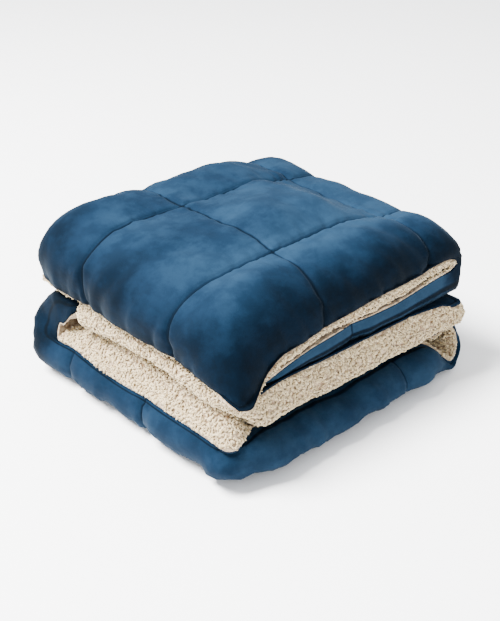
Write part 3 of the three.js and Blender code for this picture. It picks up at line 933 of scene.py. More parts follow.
    def top_points(self, face: Face, x: Points, y: Points) -> Points:
        """The top layer, whose corner hangs forward as a soft tongue."""
        plan = self.plan
        x, y = np.broadcast_arrays(x, y)
        edges = {Side.LEFT: x, Side.FRONT: y, Side.BACK: plan.depth - y}
        points = self.layer_points(Layer.TOP, face, x, self.row_y(Layer.TOP, y), edges)
        across = 1 - ramp(x, plan.tongue_start, plan.tongue_width)
        hung = across * (1 - smooth(y / plan.tongue_depth))
        points[..., 1] -= plan.tongue_reach * hung
        points[..., 0] -= plan.tongue_left * hung
        return points

    def upper_points(self, face: Face, x: Points, y: Points) -> Points:
        """The upper layer, plush down."""
        plan = self.plan
        x, y = np.broadcast_arrays(x, y)
        edges = {Side.FRONT: y, Side.BACK: plan.depth - y}
        back_y = mix(plan.inner_back_y, plan.upper_back_y, ramp(x, *plan.upper_back_span))
        y_plan = self.row_y(Layer.UPPER, self.inner_y(y, back_y))
        return self.layer_points(Layer.UPPER, face, x, y_plan, edges)

    def middle_points(self, face: Face, share: Points, y: Points, past_strip: bool) -> Points:
        """The middle layer, free at the right and front, and at the left only past the strip.

        Args:
            face: Which of the three surfaces.
            share: Share of the middle's extent along X.
            y: Plan Y of each point.
            past_strip: Whether the points lie behind the strip.

        Returns:
            Points whose X goes from the left edge to the right one by the share, and
            whose front stands out by the lean.
        """
        plan = self.plan
        share, y = np.broadcast_arrays(share, y)
        ease = ramp(y, plan.inner_back_y, plan.left_edge_run)
        wanted = np.maximum(ease, plan.left_edge_least) if past_strip else np.zeros_like(ease)
        left = mix(plan.left_fold_x, plan.base_left_x + plan.left_edge_inset, wanted)
        x = mix(left, plan.middle_right_x, share)
        edges = {Side.RIGHT: (plan.middle_right_x - x) * plan.blunt_end, Side.FRONT: y}
        if past_strip:
            edges[Side.LEFT] = x - left
        forward = climb(0.0, x, plan.lean_right) + plan.lean_left * hump(x, plan.lean_left_reach)
        y_plan = self.row_y(Layer.MIDDLE, y) - forward * (1 - smooth(y / plan.lean_depth))
        return self.layer_points(Layer.MIDDLE, face, x, y_plan, edges)

    def base_points(self, face: Face, share: Points, y: Points) -> Points:
        """The base layer, plush down on the surface."""
        plan = self.plan
        share, y = np.broadcast_arrays(share, y)
        x = mix(plan.base_left_x, plan.base_turn_x, share)
        edges = {Side.LEFT: x - plan.base_left_x, Side.FRONT: y}
        tucked = plan.tuck_reach * plan.tuck(x) * (1 - smooth(y / plan.tuck_depth))
        return self.layer_points(Layer.BASE, face, x, self.row_y(Layer.BASE, y) + tucked, edges)

    def flap_points(self, face: Face, along: Points, y: Points) -> Points:
        """The short flap that the base's turned end makes, plush up."""
        plan = self.plan
        along, y = np.broadcast_arrays(along, y)
        x = plan.base_turn_x - plan.flap_length * along
        edges = {Side.LEFT: plan.flap_length * (1 - along), Side.FRONT: y}
        return self.layer_points(Layer.FLAP, face, x, self.row_y(Layer.FLAP, y), edges)


def stations(start: float, stop: float, fine_at: list[float], spacing: Spacing) -> Points:
    """Positions from start to stop, close together at the places named and wider between them.

    Args:
        start: First position.
        stop: Last position.
        fine_at: Places that need close positions, such as hems and seams.
        spacing: The closest and widest steps, and the distance over which one grows to the other.

    Returns:
        An increasing array that holds both ends.
    """
    fine = np.linspace(start, stop, RULER_STATIONS)
    nearest = np.min([np.abs(fine - place) for place in fine_at], axis=0)
    step = mix(spacing.close, spacing.wide, ramp(nearest, spacing.close_reach, spacing.reach))
    counted = np.concatenate([[0.0], np.cumsum(np.diff(fine) / step[1:])])
    wanted = np.linspace(0.0, counted[-1], max(2, int(round(counted[-1])) + 1))
    return np.interp(wanted, counted, fine)


def fold_angles(steps: int) -> Points:
    """Angles round a half turn without its two ends, from over the fold to under it."""
    return math.pi / 2 - math.pi * np.arange(1, steps) / steps


@dataclass
class Run:
    """One run of columns or rows of the sheet: its zone, its parameter and its place in the cloth."""

    zone: Across | Along
    values: Points
    cloth: Points


@dataclass
class SheetGrid:
    """The grid of the whole sheet. A turn is the length of cloth that a fold takes."""

    sheet: FoldedSheet = field(default_factory=FoldedSheet)
    right_turn: float = 95.0
    left_turn: float = 80.0
    back_turn: float = 120.0
    end_turn: float = 60.0
    columns: list[Run] = field(default_factory=list)
    rows: list[Run] = field(default_factory=list)

    def __post_init__(self) -> None:
        """Lays out the columns and the rows."""
        self.columns = self.placed(self.column_runs())
        self.rows = self.placed(self.row_runs())

    def column_runs(self) -> list[tuple[Across, Points, Points | None, float]]:
        """Lays out the columns.

        Returns:
            Each run's zone, parameter, places in the cloth or None, and length.
        """
        plan = self.sheet.plan
        left, right = plan.left_fold_x, plan.right_fold_x
        top = plan.quilting[Layer.TOP]
        upper = plan.quilting[Layer.UPPER]
        base = plan.quilting[Layer.BASE]
        top_x = stations(0, right, [0, *top.along_x, right], TOP_SPACING)
        upper_x = stations(left, right, [left, *upper.along_x], INNER_SPACING)
        middle_ends = (left, plan.middle_right_x)
        middle_x = stations(*middle_ends, [*middle_ends, *base.along_x], INNER_SPACING)
        middle_shares = (middle_x - left) / plan.middle_width
        turn = fold_angles(FOLD_STEPS)
        return [
            (Across.TOP, top_x[:-1], top_x[:-1], 0.0),
            (Across.RIGHT_FOLD, turn, None, self.right_turn),
            (Across.UPPER, upper_x[1:-1][::-1], None, right - left),
            (Across.LEFT_FOLD, turn, None, self.left_turn),
            (Across.MIDDLE, middle_shares, None, plan.middle_width),
            (Across.TURNED_END, turn[::-1], None, self.end_turn),
            (Across.FLAP, np.linspace(0.0, 1.0, FLAP_STATIONS), None, plan.flap_length),
        ]

    def row_runs(self) -> list[tuple[Along, Points, Points | None, float]]:
        """Lays out the rows.

        Returns:
            Each run's zone, parameter, places in the cloth or None, and length.
        """
        plan = self.sheet.plan
        back = plan.back_fold_y
        top = plan.quilting[Layer.TOP]
        base = plan.quilting[Layer.BASE]
        strip_y = stations(0, plan.depth, [0, *top.along_y, plan.depth], TOP_SPACING)
        over_back = np.linspace(plan.inner_back_y, back, OVER_BACK_STATIONS)[1:]
        base_y = stations(0, back, [0, *base.along_y, back], BASE_SPACING)
        return [
            (Along.STRIP, strip_y, strip_y, 0.0),
            (Along.OVER_BACK, over_back, None, back - plan.inner_back_y),
            (Along.BACK_FOLD, fold_angles(FOLD_STEPS), None, self.back_turn),
            (Along.BASE, base_y[:-1][::-1], None, back),
        ]

    @staticmethod
    def placed(runs: list[tuple[Across | Along, Points, Points | None, float]]) -> list[Run]:
        """Gives each run its distances along the cloth, one run after another."""
        result = []
        reached = 0.0
        for zone, values, cloth, length in runs:
            if cloth is None:
                cloth = reached + length * (np.arange(len(values)) + 1) / (len(values) + 1)
            reached = float(max(cloth[-1], reached + length))
            result.append(Run(zone, values, cloth))
        return result

    def runs_of(self, zone: Across | Along) -> list[Run]:
        """The columns or the rows, whichever a zone belongs to."""
        return self.columns if isinstance(zone, Across) else self.rows

    def values(self, zone: Across | Along) -> Points:
        """The parameter along one run."""
        return next(run.values for run in self.runs_of(zone) if run.zone is zone)

    def span(self, zone: Across | Along) -> slice:
        """Where a zone's columns or rows lie in the grid."""
        start = 0
        for run in self.runs_of(zone):
            if run.zone is zone:
                break
            start += len(run.values)
        return slice(start, start + len(self.values(zone)))

    def size(self) -> tuple[int, int]:
        """Numbers of columns and rows."""
        return sum(len(run.values) for run in self.columns), sum(len(run.values) for run in self.rows)

    def cells(self) -> Points:
        """Which cells of the grid are cloth: the strip, the middle past it, and the base's panel."""
        columns, rows = self.size()
        used = np.zeros((columns - 1, rows - 1), dtype=bool)
        middle = self.span(Across.MIDDLE)
        last_middle = middle.stop - 1
        last_strip = self.span(Along.STRIP).stop - 1
        first_base = self.span(Along.BASE).start
        used[:last_middle, :last_strip] = True
        used[middle.start : last_middle, last_strip:first_base] = True
        used[middle.start :, first_base:] = True
        return used

    def points(self, face: Face) -> Points:
        """All grid points of one surface, with NaN where the grid holds no cloth."""
        grid = np.full((*self.size(), 3), np.nan)
        for column in self.columns:
            for row in self.rows:
                block = self.block(face, column, row)
                if block is not None:
                    grid[self.span(column.zone), self.span(row.zone)] = block
        return grid

    def block(self, face: Face, column: Run, row: Run) -> Points | None:
        """Works out one run of columns over one run of rows.

        Args:
            face: Which of the three surfaces.
            column: The run of columns.
            row: The run of rows.

        Returns:
            The points, or None where there is no cloth.
        """
        across = column.values[:, None]
        along = row.values[None, :]
        if row.zone is Along.STRIP:
            return self.strip_block(face, column.zone, across, along)
        if row.zone is Along.BASE:
            return self.base_block(face, column.zone, across, along)
        if column.zone is not Across.MIDDLE:
            return None
        if row.zone is Along.OVER_BACK:
            return self.sheet.middle_points(face, across, along, True)
        return self.back_fold(face, across, along)

    @staticmethod
    def turned(
        face: Face,
        over: dict[Face, Points],
        under: dict[Face, Points],
        shape: FoldShape,
        angle: Points,
        axis: int,
        out: Points,
    ) -> Points:
        """Points of one surface round a fold.

        Args:
            face: Which of the three surfaces.
            over: Points of that surface and of the seam where the layer above ends.
            under: The same of the layer below.
            shape: Shape of the fold.
            angle: Angle round the fold, a quarter turn at over and less one at under.
            axis: 0 for a fold along X, 1 for one along Y.
            out: How far it bulges, with its sign.

        Returns:
            Points on a squashed half circle about the seam's middle height: out by the
            cosine, up by the sine.
        """
        centre = (over[Face.SEAM][..., 2] + under[Face.SEAM][..., 2]) / 2
        above, below = (np.broadcast_to(ends[face], (*angle.shape, 3)) for ends in (over, under))
        across = np.sin(angle)
        points = above + (below - above) * ((1 - across) / 2)[..., None]
        half = np.where(across >= 0, above[..., 2] - centre, centre - below[..., 2])
        points[..., 2] = centre + half * across
        power = np.where(across < 0, shape.box(face), 1.0)
        points[..., axis] += out * np.cos(angle) ** power
        return points

    def back_fold(self, face: Face, across: Points, angle: Points) -> Points:
        """Points of the fold from the middle round the back to the base.

        Args:
            face: Which of the three surfaces.
            across: Share of the middle's extent along X, down the first axis.
            angle: Angle round the fold, along the second axis.

        Returns:
            The points, with a narrow hem on the left half and a wide one on the right.
        """
        sheet = self.sheet
        plan = sheet.plan
        y = np.full((1, 1), plan.back_fold_y)
        over = {one: sheet.middle_points(one, across, y, True) for one in (face, Face.SEAM)}
        under = {one: sheet.base_points(one, across, y) for one in (face, Face.SEAM)}
        edge = np.minimum(across, 1 - across) * plan.middle_width
        left_shape = plan.back_fold
        right_shape = replace(left_shape, hem=plan.back_fold_right_hem)
        at_left, at_right = (
            shape.width(face, edge, plan.hem_half) for shape in (left_shape, right_shape)
        )
        out = np.where(across < 0.5, at_left, at_right)
        angle = np.broadcast_to(angle, (across.shape[0], angle.shape[1]))
        return self.turned(face, over, under, left_shape, angle, 1, out)

    def strip_block(self, face: Face, zone: Across, across: Points, y: Points) -> Points | None:
        """Points of the strip's layers and of the folds between them.

        Args:
            face: Which of the three surfaces.
            zone: The run of columns.
            across: Its parameter, down the first axis.
            y: Plan Y of the rows, along the second axis.

        Returns:
            The points, or None where the strip has no such columns.
        """
        sheet = self.sheet
        inner = sheet.inner_y(y, sheet.plan.inner_back_y)
        if zone is Across.TOP:
            return sheet.top_points(face, across, y)
        if zone is Across.UPPER:
            return sheet.upper_points(face, across, y)
        if zone is Across.MIDDLE:
            return sheet.middle_points(face, across, inner, False)
        angle = np.broadcast_to(across, (across.shape[0], y.shape[1]))
        if zone is Across.RIGHT_FOLD:
            return self.right_fold(face, angle, y)
        if zone is Across.LEFT_FOLD:
            return self.left_fold(face, angle, y, inner)
        return None

    def right_fold(self, face: Face, angle: Points, y: Points) -> Points:
        """Points of the fold from the top to the upper, drawn in at the top's seams."""
        sheet = self.sheet
        plan = sheet.plan
        x = np.full((1, 1), plan.right_fold_x)
        over = {one: sheet.top_points(one, x, y) for one in (face, Face.SEAM)}
        under = {one: sheet.upper_points(one, x, y) for one in (face, Face.SEAM)}
        edge = np.minimum(y, plan.depth - y)
        out = plan.right_fold.width(face, edge, plan.hem_half)
        if face is Face.PLUSH:
            seams = plan.quilting[Layer.TOP]
            out = out - plan.fold_pinch * seams.depth * seams.channel(y, seams.along_y)
        return self.turned(face, over, under, plan.right_fold, angle, 0, out)

    def left_fold(self, face: Face, angle: Points, y: Points, inner: Points) -> Points:
        """Points of the fold from the upper to the middle."""
        sheet = self.sheet
        plan = sheet.plan
        x = np.full((1, 1), plan.left_fold_x)
        start = np.zeros((1, 1))
        over = {one: sheet.upper_points(one, x, y) for one in (face, Face.SEAM)}
        under = {one: sheet.middle_points(one, start, inner, False) for one in (face, Face.SEAM)}
        edge = np.minimum(y, plan.depth - y)
        out = -plan.left_fold.width(face, edge, plan.hem_half)
        return self.turned(face, over, under, plan.left_fold, angle, 0, out)

    def base_block(self, face: Face, zone: Across, across: Points, y: Points) -> Points | None:
        """Points of the base, its turned end and its flap.

        Args:
            face: Which of the three surfaces.
            zone: The run of columns.
            across: Its parameter, down the first axis.
            y: Plan Y of the rows, along the second axis.

        Returns:
            The points, or None where the base has no such columns.
        """
        sheet = self.sheet
        if zone is Across.MIDDLE:
            return sheet.base_points(face, across, y)
        if zone is Across.FLAP:
            return sheet.flap_points(face, across, y)
        if zone is not Across.TURNED_END:
            return None
        plan = sheet.plan
        start, end = np.zeros((1, 1)), np.ones((1, 1))
        over = {one: sheet.flap_points(one, start, y) for one in (face, Face.SEAM)}
        under = {one: sheet.base_points(one, end, y) for one in (face, Face.SEAM)}
        out = plan.turned_end.width(face, y, plan.hem_half)
        angle = np.broadcast_to(across, (across.shape[0], y.shape[1]))
        return self.turned(face, over, under, plan.turned_end, angle, 0, out)


def grid_normals(points: Points) -> Points:
    """Unit normals of a grid of points, towards the plush side.

    Args:
        points: The grid's points, with NaN off the cloth.

    Returns:
        The cross product of the steps both ways, from the point before to the one after,
        at unit length.
    """
    steps = []
    for axis in (0, 1):
        ahead = np.roll(points, -1, axis=axis)
        behind = np.roll(points, 1, axis=axis)
        first = [slice(None)] * 3
        last = [slice(None)] * 3
        first[axis] = 0
        last[axis] = -1
        behind[tuple(first)] = np.nan
        ahead[tuple(last)] = np.nan
        ahead = np.where(np.isnan(ahead), points, ahead)
        behind = np.where(np.isnan(behind), points, behind)
        steps.append(ahead - behind)
    return normalized(np.cross(steps[0], steps[1]))


@dataclass
class ClosedSheet:
    """A closed body between an outer and an inner surface over the cloth's cells."""

    outer: Points
    inner: Points
    cells: Points

    def used(self) -> Points:
        """Which grid points belong to a cell."""
        used = np.zeros(self.outer.shape[:2], dtype=bool)
        used[:-1, :-1] |= self.cells
        used[1:, :-1] |= self.cells
        used[:-1, 1:] |= self.cells
        used[1:, 1:] |= self.cells
        return used

    def values(self, grid_values: Points) -> Points:
        """One value for each of the body's points, the same on both surfaces."""
        chosen = grid_values[self.used()]
        return np.concatenate([chosen, chosen])

    def arrays(self) -> tuple[Points, Points]:
        """Points of the body and its four-sided faces.

        Returns:
            The outer points followed by the inner ones, and faces that all look outwards:
            a cell's four points on both surfaces, and a wall along each free edge.
        """
        used = self.used()
        count = int(used.sum())
        index = np.full(used.shape, -1)
        index[used] = np.arange(count)
        vertices = np.concatenate([self.outer[used], self.inner[used]])
        a, b, c, d = index[:-1, :-1], index[1:, :-1], index[1:, 1:], index[:-1, 1:]
        cells = self.cells
        corners = [corner[cells] for corner in (a, b, c, d)]
        quads = [np.stack(corners, axis=1)]
        quads.append(np.stack([corners[k] for k in (0, 3, 2, 1)], axis=1) + [[count] * 4])
        padded = np.pad(cells, 1)
        sides = (
            (padded[1:-1, :-2], a, b),
            (padded[2:, 1:-1], b, c),
            (padded[1:-1, 2:], c, d),
            (padded[:-2, 1:-1], d, a),
        )
        for joined, start, end in sides:
            free = cells & ~joined
            begin, finish = start[free], end[free]
            quads.append(np.stack([finish, begin, begin + count, finish + count], axis=1))
        return vertices, np.concatenate(quads)


def lattice_noise(seed: int, u: Points, v: Points) -> Points:
    """Smooth seeded noise between -1 and 1 on a lattice of unit cells.

    Args:
        seed: Which table of random heights to use.
        u: First coordinate in cells.
        v: Second coordinate in cells.

    Returns:
        Heights blended between the four nearest lattice points by the S-shaped ramp.
    """
    table = np.random.default_rng(seed).uniform(-1.0, 1.0, (NOISE_CELLS, NOISE_CELLS))
    u, v = np.broadcast_arrays(u, v)
    column, row = np.floor(u).astype(int), np.floor(v).astype(int)
    across, along = smooth(u - column), smooth(v - row)
    left, right = column % NOISE_CELLS, (column + 1) % NOISE_CELLS
    front, back = row % NOISE_CELLS, (row + 1) % NOISE_CELLS
    near = mix(table[left, front], table[right, front], across)
    far = mix(table[left, back], table[right, back], across)
    return mix(near, far, along)


@dataclass(frozen=True)
class Unevenness:
    """Soft seeded bumps of a height, with a size both ways along the cloth."""

    seed: int
    height: float
    size_u: float
    size_v: float

    def at(self, u: Points, v: Points) -> Points:
        """Height at distances along the cloth."""
        return self.height * lattice_noise(self.seed, u / self.size_u, v / self.size_v)


@dataclass(frozen=True)
class Pucker:
    """Small gathers that stand across a sewn line.

    They have a height, a pitch along the line, a reach away from it, a length over which a
    gather keeps its shape, and a distance from the line at which they are highest.
    """

    height: float
    pitch: float
    reach: float
    length: float
    start: float = 0.0

    def at(self, seed: int, away: Points, along: Points) -> Points:
        """Height of the gathers: seeded noise under a bell.

        Args:
            seed: Which table of random heights to use.
            away: Distance from the line.
            along: Distance along it.

        Returns:
            The heights.
        """
        past = away - self.start
        waves = lattice_noise(seed, along / self.pitch, past / self.length + GATHER_SHIFT)
        return self.height * hump(past, self.reach) * waves


@dataclass(frozen=True)
class Crease:
    """A groove of a depth and half width, with the power of its bell."""

    depth: float
    width: float
    power: float

    def at(self, away: Points) -> Points:
        """Height by the distance from the line: minus the depth times a bell."""
        return -self.depth * np.exp(-((np.abs(away) / self.width) ** self.power))


SOFT_LUMPS = Unevenness(5, 1.5, 34.0, 31.0)
SMALL_LUMPS = Unevenness(6, 0.7, 15.0, 19.0)
NAP_PATCHES = Unevenness(71, 0.24, 58.0, 47.0)
PILE_CURLS = (Unevenness(61, 1.0, 4.1, 4.1), Unevenness(62, 0.7, 2.9, 2.7))
PILE_CURL_HEIGHT = 1.1
PILE_LUMPS = Unevenness(63, 1.4, 24.0, 21.0)
SEAM_PUCKER = Pucker(1.8, 6.0, 19.0, 34.0)
HEM_PUCKER = Pucker(3.0, 8.0, 28.0, 50.0)
HEM_DRAPE = Pucker(2.6, 21.0, 60.0, 90.0, start=14.0)
WRAP_PUCKER = Pucker(4.5, 12.0, 40.0, 70.0)
SEAM_SEED = 20
HEM_SEED = 40
DRAPE_SEED = 41
WRAP_SEED = 42
SEWN_CREASE = Crease(4.5, 2.6, 1.4)
STITCH_CREASE = Crease(1.5, 1.7, 2.0)


@dataclass(frozen=True)
class NapAndPaintedLight:
    """How light the plush is painted, from 0 where it hangs to about 1 where it leans to the light:
    partly the lie of its pile, partly painted light and shade.

    It is painted dark along the top's hanging hems and darker round the back, which lie in shade, and
    light on the flat of the top, the more the further right. It is lightest on the upper inside the
    right opening, painted light over the shade there. Patches are added to it.
    """

    plain: float = 0.5
    hanging: float = -0.1
    hanging_left: float = 0.2
    hanging_run: float = 60.0
    flat: float = 0.6
    flat_right: float = 0.35
    flat_span: Span = (-150.0, 350.0)
    hem_span: Span = (12.0, 62.0)
    opened: float = 1.1
    base_left: float = 0.42
    base_more: float = 0.3
    base_share: float = 0.12
    wrapped: float = -0.1
    patch_run: float = 30.0
    most: float = 1.15

    def of_top(self, u: Points, v: Points, hem: Points) -> Points:
        """Lean on the top, painted light and shade with the lie of the pile, by the place in the
        cloth: dark at its hanging hem, light on its flat.
        """
        full = self.flat + self.flat_right * ramp(u - v, *self.flat_span)
        edge = self.hanging + self.hanging_left * smooth((v - u) / self.hanging_run)
        return mix(edge, full, ramp(hem, *self.hem_span))

    def of_base(self, share: Points) -> Points:
        """Lean on the base, painted light and shade with the lie of the pile, by the share of its
        width from the left edge.
        """
        return self.base_left + self.base_more * smooth(share / self.base_share)


@dataclass
class ClothDetail:
    """Heights of gathers, creases and soft unevenness over the grid, along the cloth's normal.

    A pleat is a pair: how much further it runs from the base's left edge than from its
    front one, and its depth.
    """

    grid: SheetGrid
    nap_light_plan: NapAndPaintedLight = NapAndPaintedLight()
    hem_start: float = 2.0
    hem_run: float = 8.0
    inner_share: float = 0.3
    pleats: tuple[tuple[float, float], ...] = ((-13.0, 3.0), (0.0, 4.5), (11.0, 3.5), (24.0, 2.0))
    pleat_width: float = 3.4
    pleat_start: Span = (5.0, 8.0)
    pleat_end: Span = (34.0, 22.0)

    @property
    def plan(self) -> StackPlan:
        """The sizes of the stack."""
        return self.grid.sheet.plan

    def cloth_coordinates(self) -> tuple[Points, Points]:
        """Distances along the cloth of every grid point, both ways."""
        u = np.concatenate([run.cloth for run in self.grid.columns])
        v = np.concatenate([run.cloth for run in self.grid.rows])
        return np.broadcast_arrays(u[:, None], v[None, :])

    def hem_distance(self) -> Points:
        """Distance of every grid point to the nearest free edge."""
        grid = self.grid
        distance = np.full(grid.size(), FAR)
        for column in grid.columns:
            for row in grid.rows:
                across, along = grid.span(column.zone), grid.span(row.zone)
                distance[across, along] = self.block_hem_distance(column, row)
        return distance

    def block_hem_distance(self, column: Run, row: Run) -> Points:
        """Finds the nearest free edge over one run of columns and one of rows.

        Args:
            column: The run of columns.
            row: The run of rows.

        Returns:
            The distance to it, or a far one where no edge is free.
        """
        plan = self.plan
        p, q = column.values[:, None], row.values[None, :]
        nearest = np.full((len(column.values), len(row.values)), FAR)
        strip, base = row.zone is Along.STRIP, row.zone is Along.BASE
        middle = column.zone is Across.MIDDLE
        edges = (
            (strip or base, q),
            (strip and not middle, plan.depth - q),
            (strip and column.zone is Across.TOP, p),
            (middle and not base, (1 - p) * plan.middle_width),
            (middle and not strip, p * plan.middle_width),
            (column.zone is Across.FLAP, (1 - p) * plan.flap_length),
        )
        for free, distance in edges:
            if free:
                nearest = np.minimum(nearest, distance)
        return nearest

    def plan_x(self) -> Points:
        """Plan X of every point of a quilted layer, and NaN elsewhere."""
        grid = self.grid
        plan = self.plan
        x = np.full(grid.size(), np.nan)
        for zone in (Across.TOP, Across.UPPER):
            x[grid.span(zone)] = grid.values(zone)[:, None]
        middle = grid.span(Across.MIDDLE)
        shares = grid.values(Across.MIDDLE)[:, None]
        x[middle] = plan.left_fold_x + shares * plan.middle_width
        x[middle, grid.span(Along.BASE)] = plan.base_left_x + shares * plan.base_width
        return x

    def plan_y(self) -> Points:
        """Plan Y of every point of the strip and the base, and NaN elsewhere."""
        grid = self.grid
        y = np.full(grid.size(), np.nan)
        for zone in (Along.STRIP, Along.BASE):
            y[:, grid.span(zone)] = grid.values(zone)[None, :]
        return y

    def seam_distances(self) -> list[tuple[Points, Points]]:
        """Finds the sewn lines.

        Returns:
            For each line, the distance to it and the distance along it, at every point.
        """
        grid = self.grid
        u, v = self.cloth_coordinates()
        x, y = self.plan_x(), self.plan_y()
        strip = grid.span(Along.STRIP)
        zones = (
            (Layer.TOP, (Across.TOP, Across.RIGHT_FOLD), strip),
            (Layer.UPPER, (Across.UPPER,), strip),
            (Layer.BASE, (Across.MIDDLE, Across.TURNED_END), slice(strip.stop, None)),
        )
        lines = []
        for layer, names, rows in zones:
            inside = np.zeros(grid.size(), dtype=bool)
            for zone in names:
                inside[grid.span(zone), rows] = True
            seams = self.plan.quilting[layer]
            pairs = [(seam, x, v) for seam in seams.along_x] + [(seam, y, u) for seam in seams.along_y]
            for seam, position, along in pairs:
                away = np.where(inside & ~np.isnan(position), np.abs(position - seam), FAR)
                lines.append((away, along))
        return lines

    def nearest_seam(self) -> Points:
        """Distance of every grid point to the nearest sewn line."""
        return np.minimum.reduce([away for away, _ in self.seam_distances()])

    def plush_heights(self) -> Points:
        """Height of the plush's gathers and unevenness.

        Returns:
            Bumps, gathers across seams and hems, tucks and creases, which fade at the hem
            and between the layers, plus the stitched groove along the hem.
        """
        u, v = self.cloth_coordinates()
        hem = self.hem_distance()
        height = SOFT_LUMPS.at(u, v) + SMALL_LUMPS.at(u, v)
        creases = np.zeros_like(height)
        for seed, (away, along) in enumerate(self.seam_distances(), start=SEAM_SEED):
            height = height + SEAM_PUCKER.at(seed, away, along)
            creases = np.minimum(creases, SEWN_CREASE.at(away))
        past_welt = np.maximum(hem - self.plan.welt, 0.0)
        height = height + HEM_PUCKER.at(HEM_SEED, past_welt, u + v)
        height = height + HEM_DRAPE.at(DRAPE_SEED, past_welt, u + v)
        height = height + self.corner_pleats()
        wrapped = (slice(None), self.grid.span(Along.BACK_FOLD))
        height[wrapped] += WRAP_PUCKER.at(WRAP_SEED, past_welt, v)[wrapped]
        shown = ramp(hem, self.hem_start, self.hem_run) * self.between_layers()
        return (height + creases) * shown + STITCH_CREASE.at(hem - self.plan.welt)

    def nap_and_painted_light(self) -> Points:
        """Works out how light the plush is painted, with the lie of its pile and painted light and
        shade.

        Returns:
            How light it is at every grid point.
        """
        grid = self.grid
        nap_and_painted_light = self.nap_light_plan
        hem = self.hem_distance()
        u, v = self.cloth_coordinates()
        lean = np.full(grid.size(), nap_and_painted_light.plain)
        strip = grid.span(Along.STRIP)
        # Painted light on the top's flat and painted shade on its hanging hems, with the lie of the
        # pile.
        for zone in (Across.TOP, Across.RIGHT_FOLD):
            part = (grid.span(zone), strip)
            lean[part] = nap_and_painted_light.of_top(u[part], v[part], hem[part])
        # Painted light: the upper in the right opening lies in shade and is painted lighter.
        lean[grid.span(Across.UPPER), strip] = nap_and_painted_light.opened
        # Painted light on the base: darker at its left end, lighter past it.
        middle = grid.span(Across.MIDDLE)
        shares = grid.values(Across.MIDDLE)[:, None]
        lean[middle, grid.span(Along.BASE)] = nap_and_painted_light.of_base(shares)
        # Painted shade round the back, which lies away from the light.
        for zone in (Along.OVER_BACK, Along.BACK_FOLD):
            lean[:, grid.span(zone)] = nap_and_painted_light.wrapped
        lean = lean + NAP_PATCHES.at(u, v) * smooth(hem / nap_and_painted_light.patch_run)
        return np.clip(lean, 0, nap_and_painted_light.most)

    def corner_pleats(self) -> Points:
        """Height of the tucks that run from the base's front corner down to its ground edge.

        Returns:
            Minus each tuck's depth times a bell across it, away from the corner's edges.
        """
        grid = self.grid
        heights = np.zeros(grid.size())
        shares = grid.values(Across.MIDDLE)
        to_left = (shares * self.plan.base_width)[:, None]
        to_front = grid.values(Along.BASE)[None, :]
        near = np.minimum(to_left, to_front)
        fade = ramp(near, *self.pleat_start) * (1 - ramp(near, *self.pleat_end))
        for place, depth in self.pleats:
            tuck = hump(to_left - to_front - place, self.pleat_width)
            heights[grid.span(Across.MIDDLE), grid.span(Along.BASE)] -= depth * tuck * fade
        return heights

    def between_layers(self) -> Points:
        """Share of the detail's height: less on the plush that lies between two layers."""
        grid = self.grid
        share = np.ones(grid.size())
        last = grid.span(Along.OVER_BACK).stop
        for zone in (Across.UPPER, Across.LEFT_FOLD, Across.MIDDLE):
            share[grid.span(zone), :last] = self.inner_share
        return share

    def pile_heights(self) -> Points:
        """Height of the pile's tufted unevenness: fine curls over broad lumps."""
        u, v = self.cloth_coordinates()
        curls = PILE_CURLS[0].at(u, v) + PILE_CURLS[1].at(u, v)
        return PILE_CURL_HEIGHT * curls + PILE_LUMPS.at(u, v)


def new_mesh_object(name: str, vertices: Points, quads: Points) -> bpy.types.Object:
    """Makes a mesh object with smooth faces.

    Args:
        name: Name of the object and its mesh.
        vertices: Its points, in metres.
        quads: Its four-sided faces, as indices of the points.

    Returns:
        The object, linked to the scene.
    """
    mesh = bpy.data.meshes.new(name)
    mesh.vertices.add(len(vertices))
    mesh.vertices.foreach_set("co", np.ascontiguousarray(vertices, dtype=np.float32).ravel())
    mesh.loops.add(quads.size)
    mesh.loops.foreach_set("vertex_index", np.ascontiguousarray(quads, dtype=np.int32).ravel())
    mesh.polygons.add(len(quads))
    mesh.polygons.foreach_set("loop_start", np.arange(0, quads.size, quads.shape[1], dtype=np.int32))
    mesh.update(calc_edges=True)
    mesh.validate()
    mesh.shade_smooth()
    piece = bpy.data.objects.new(name, mesh)
    bpy.context.scene.collection.objects.link(piece)
    return piece


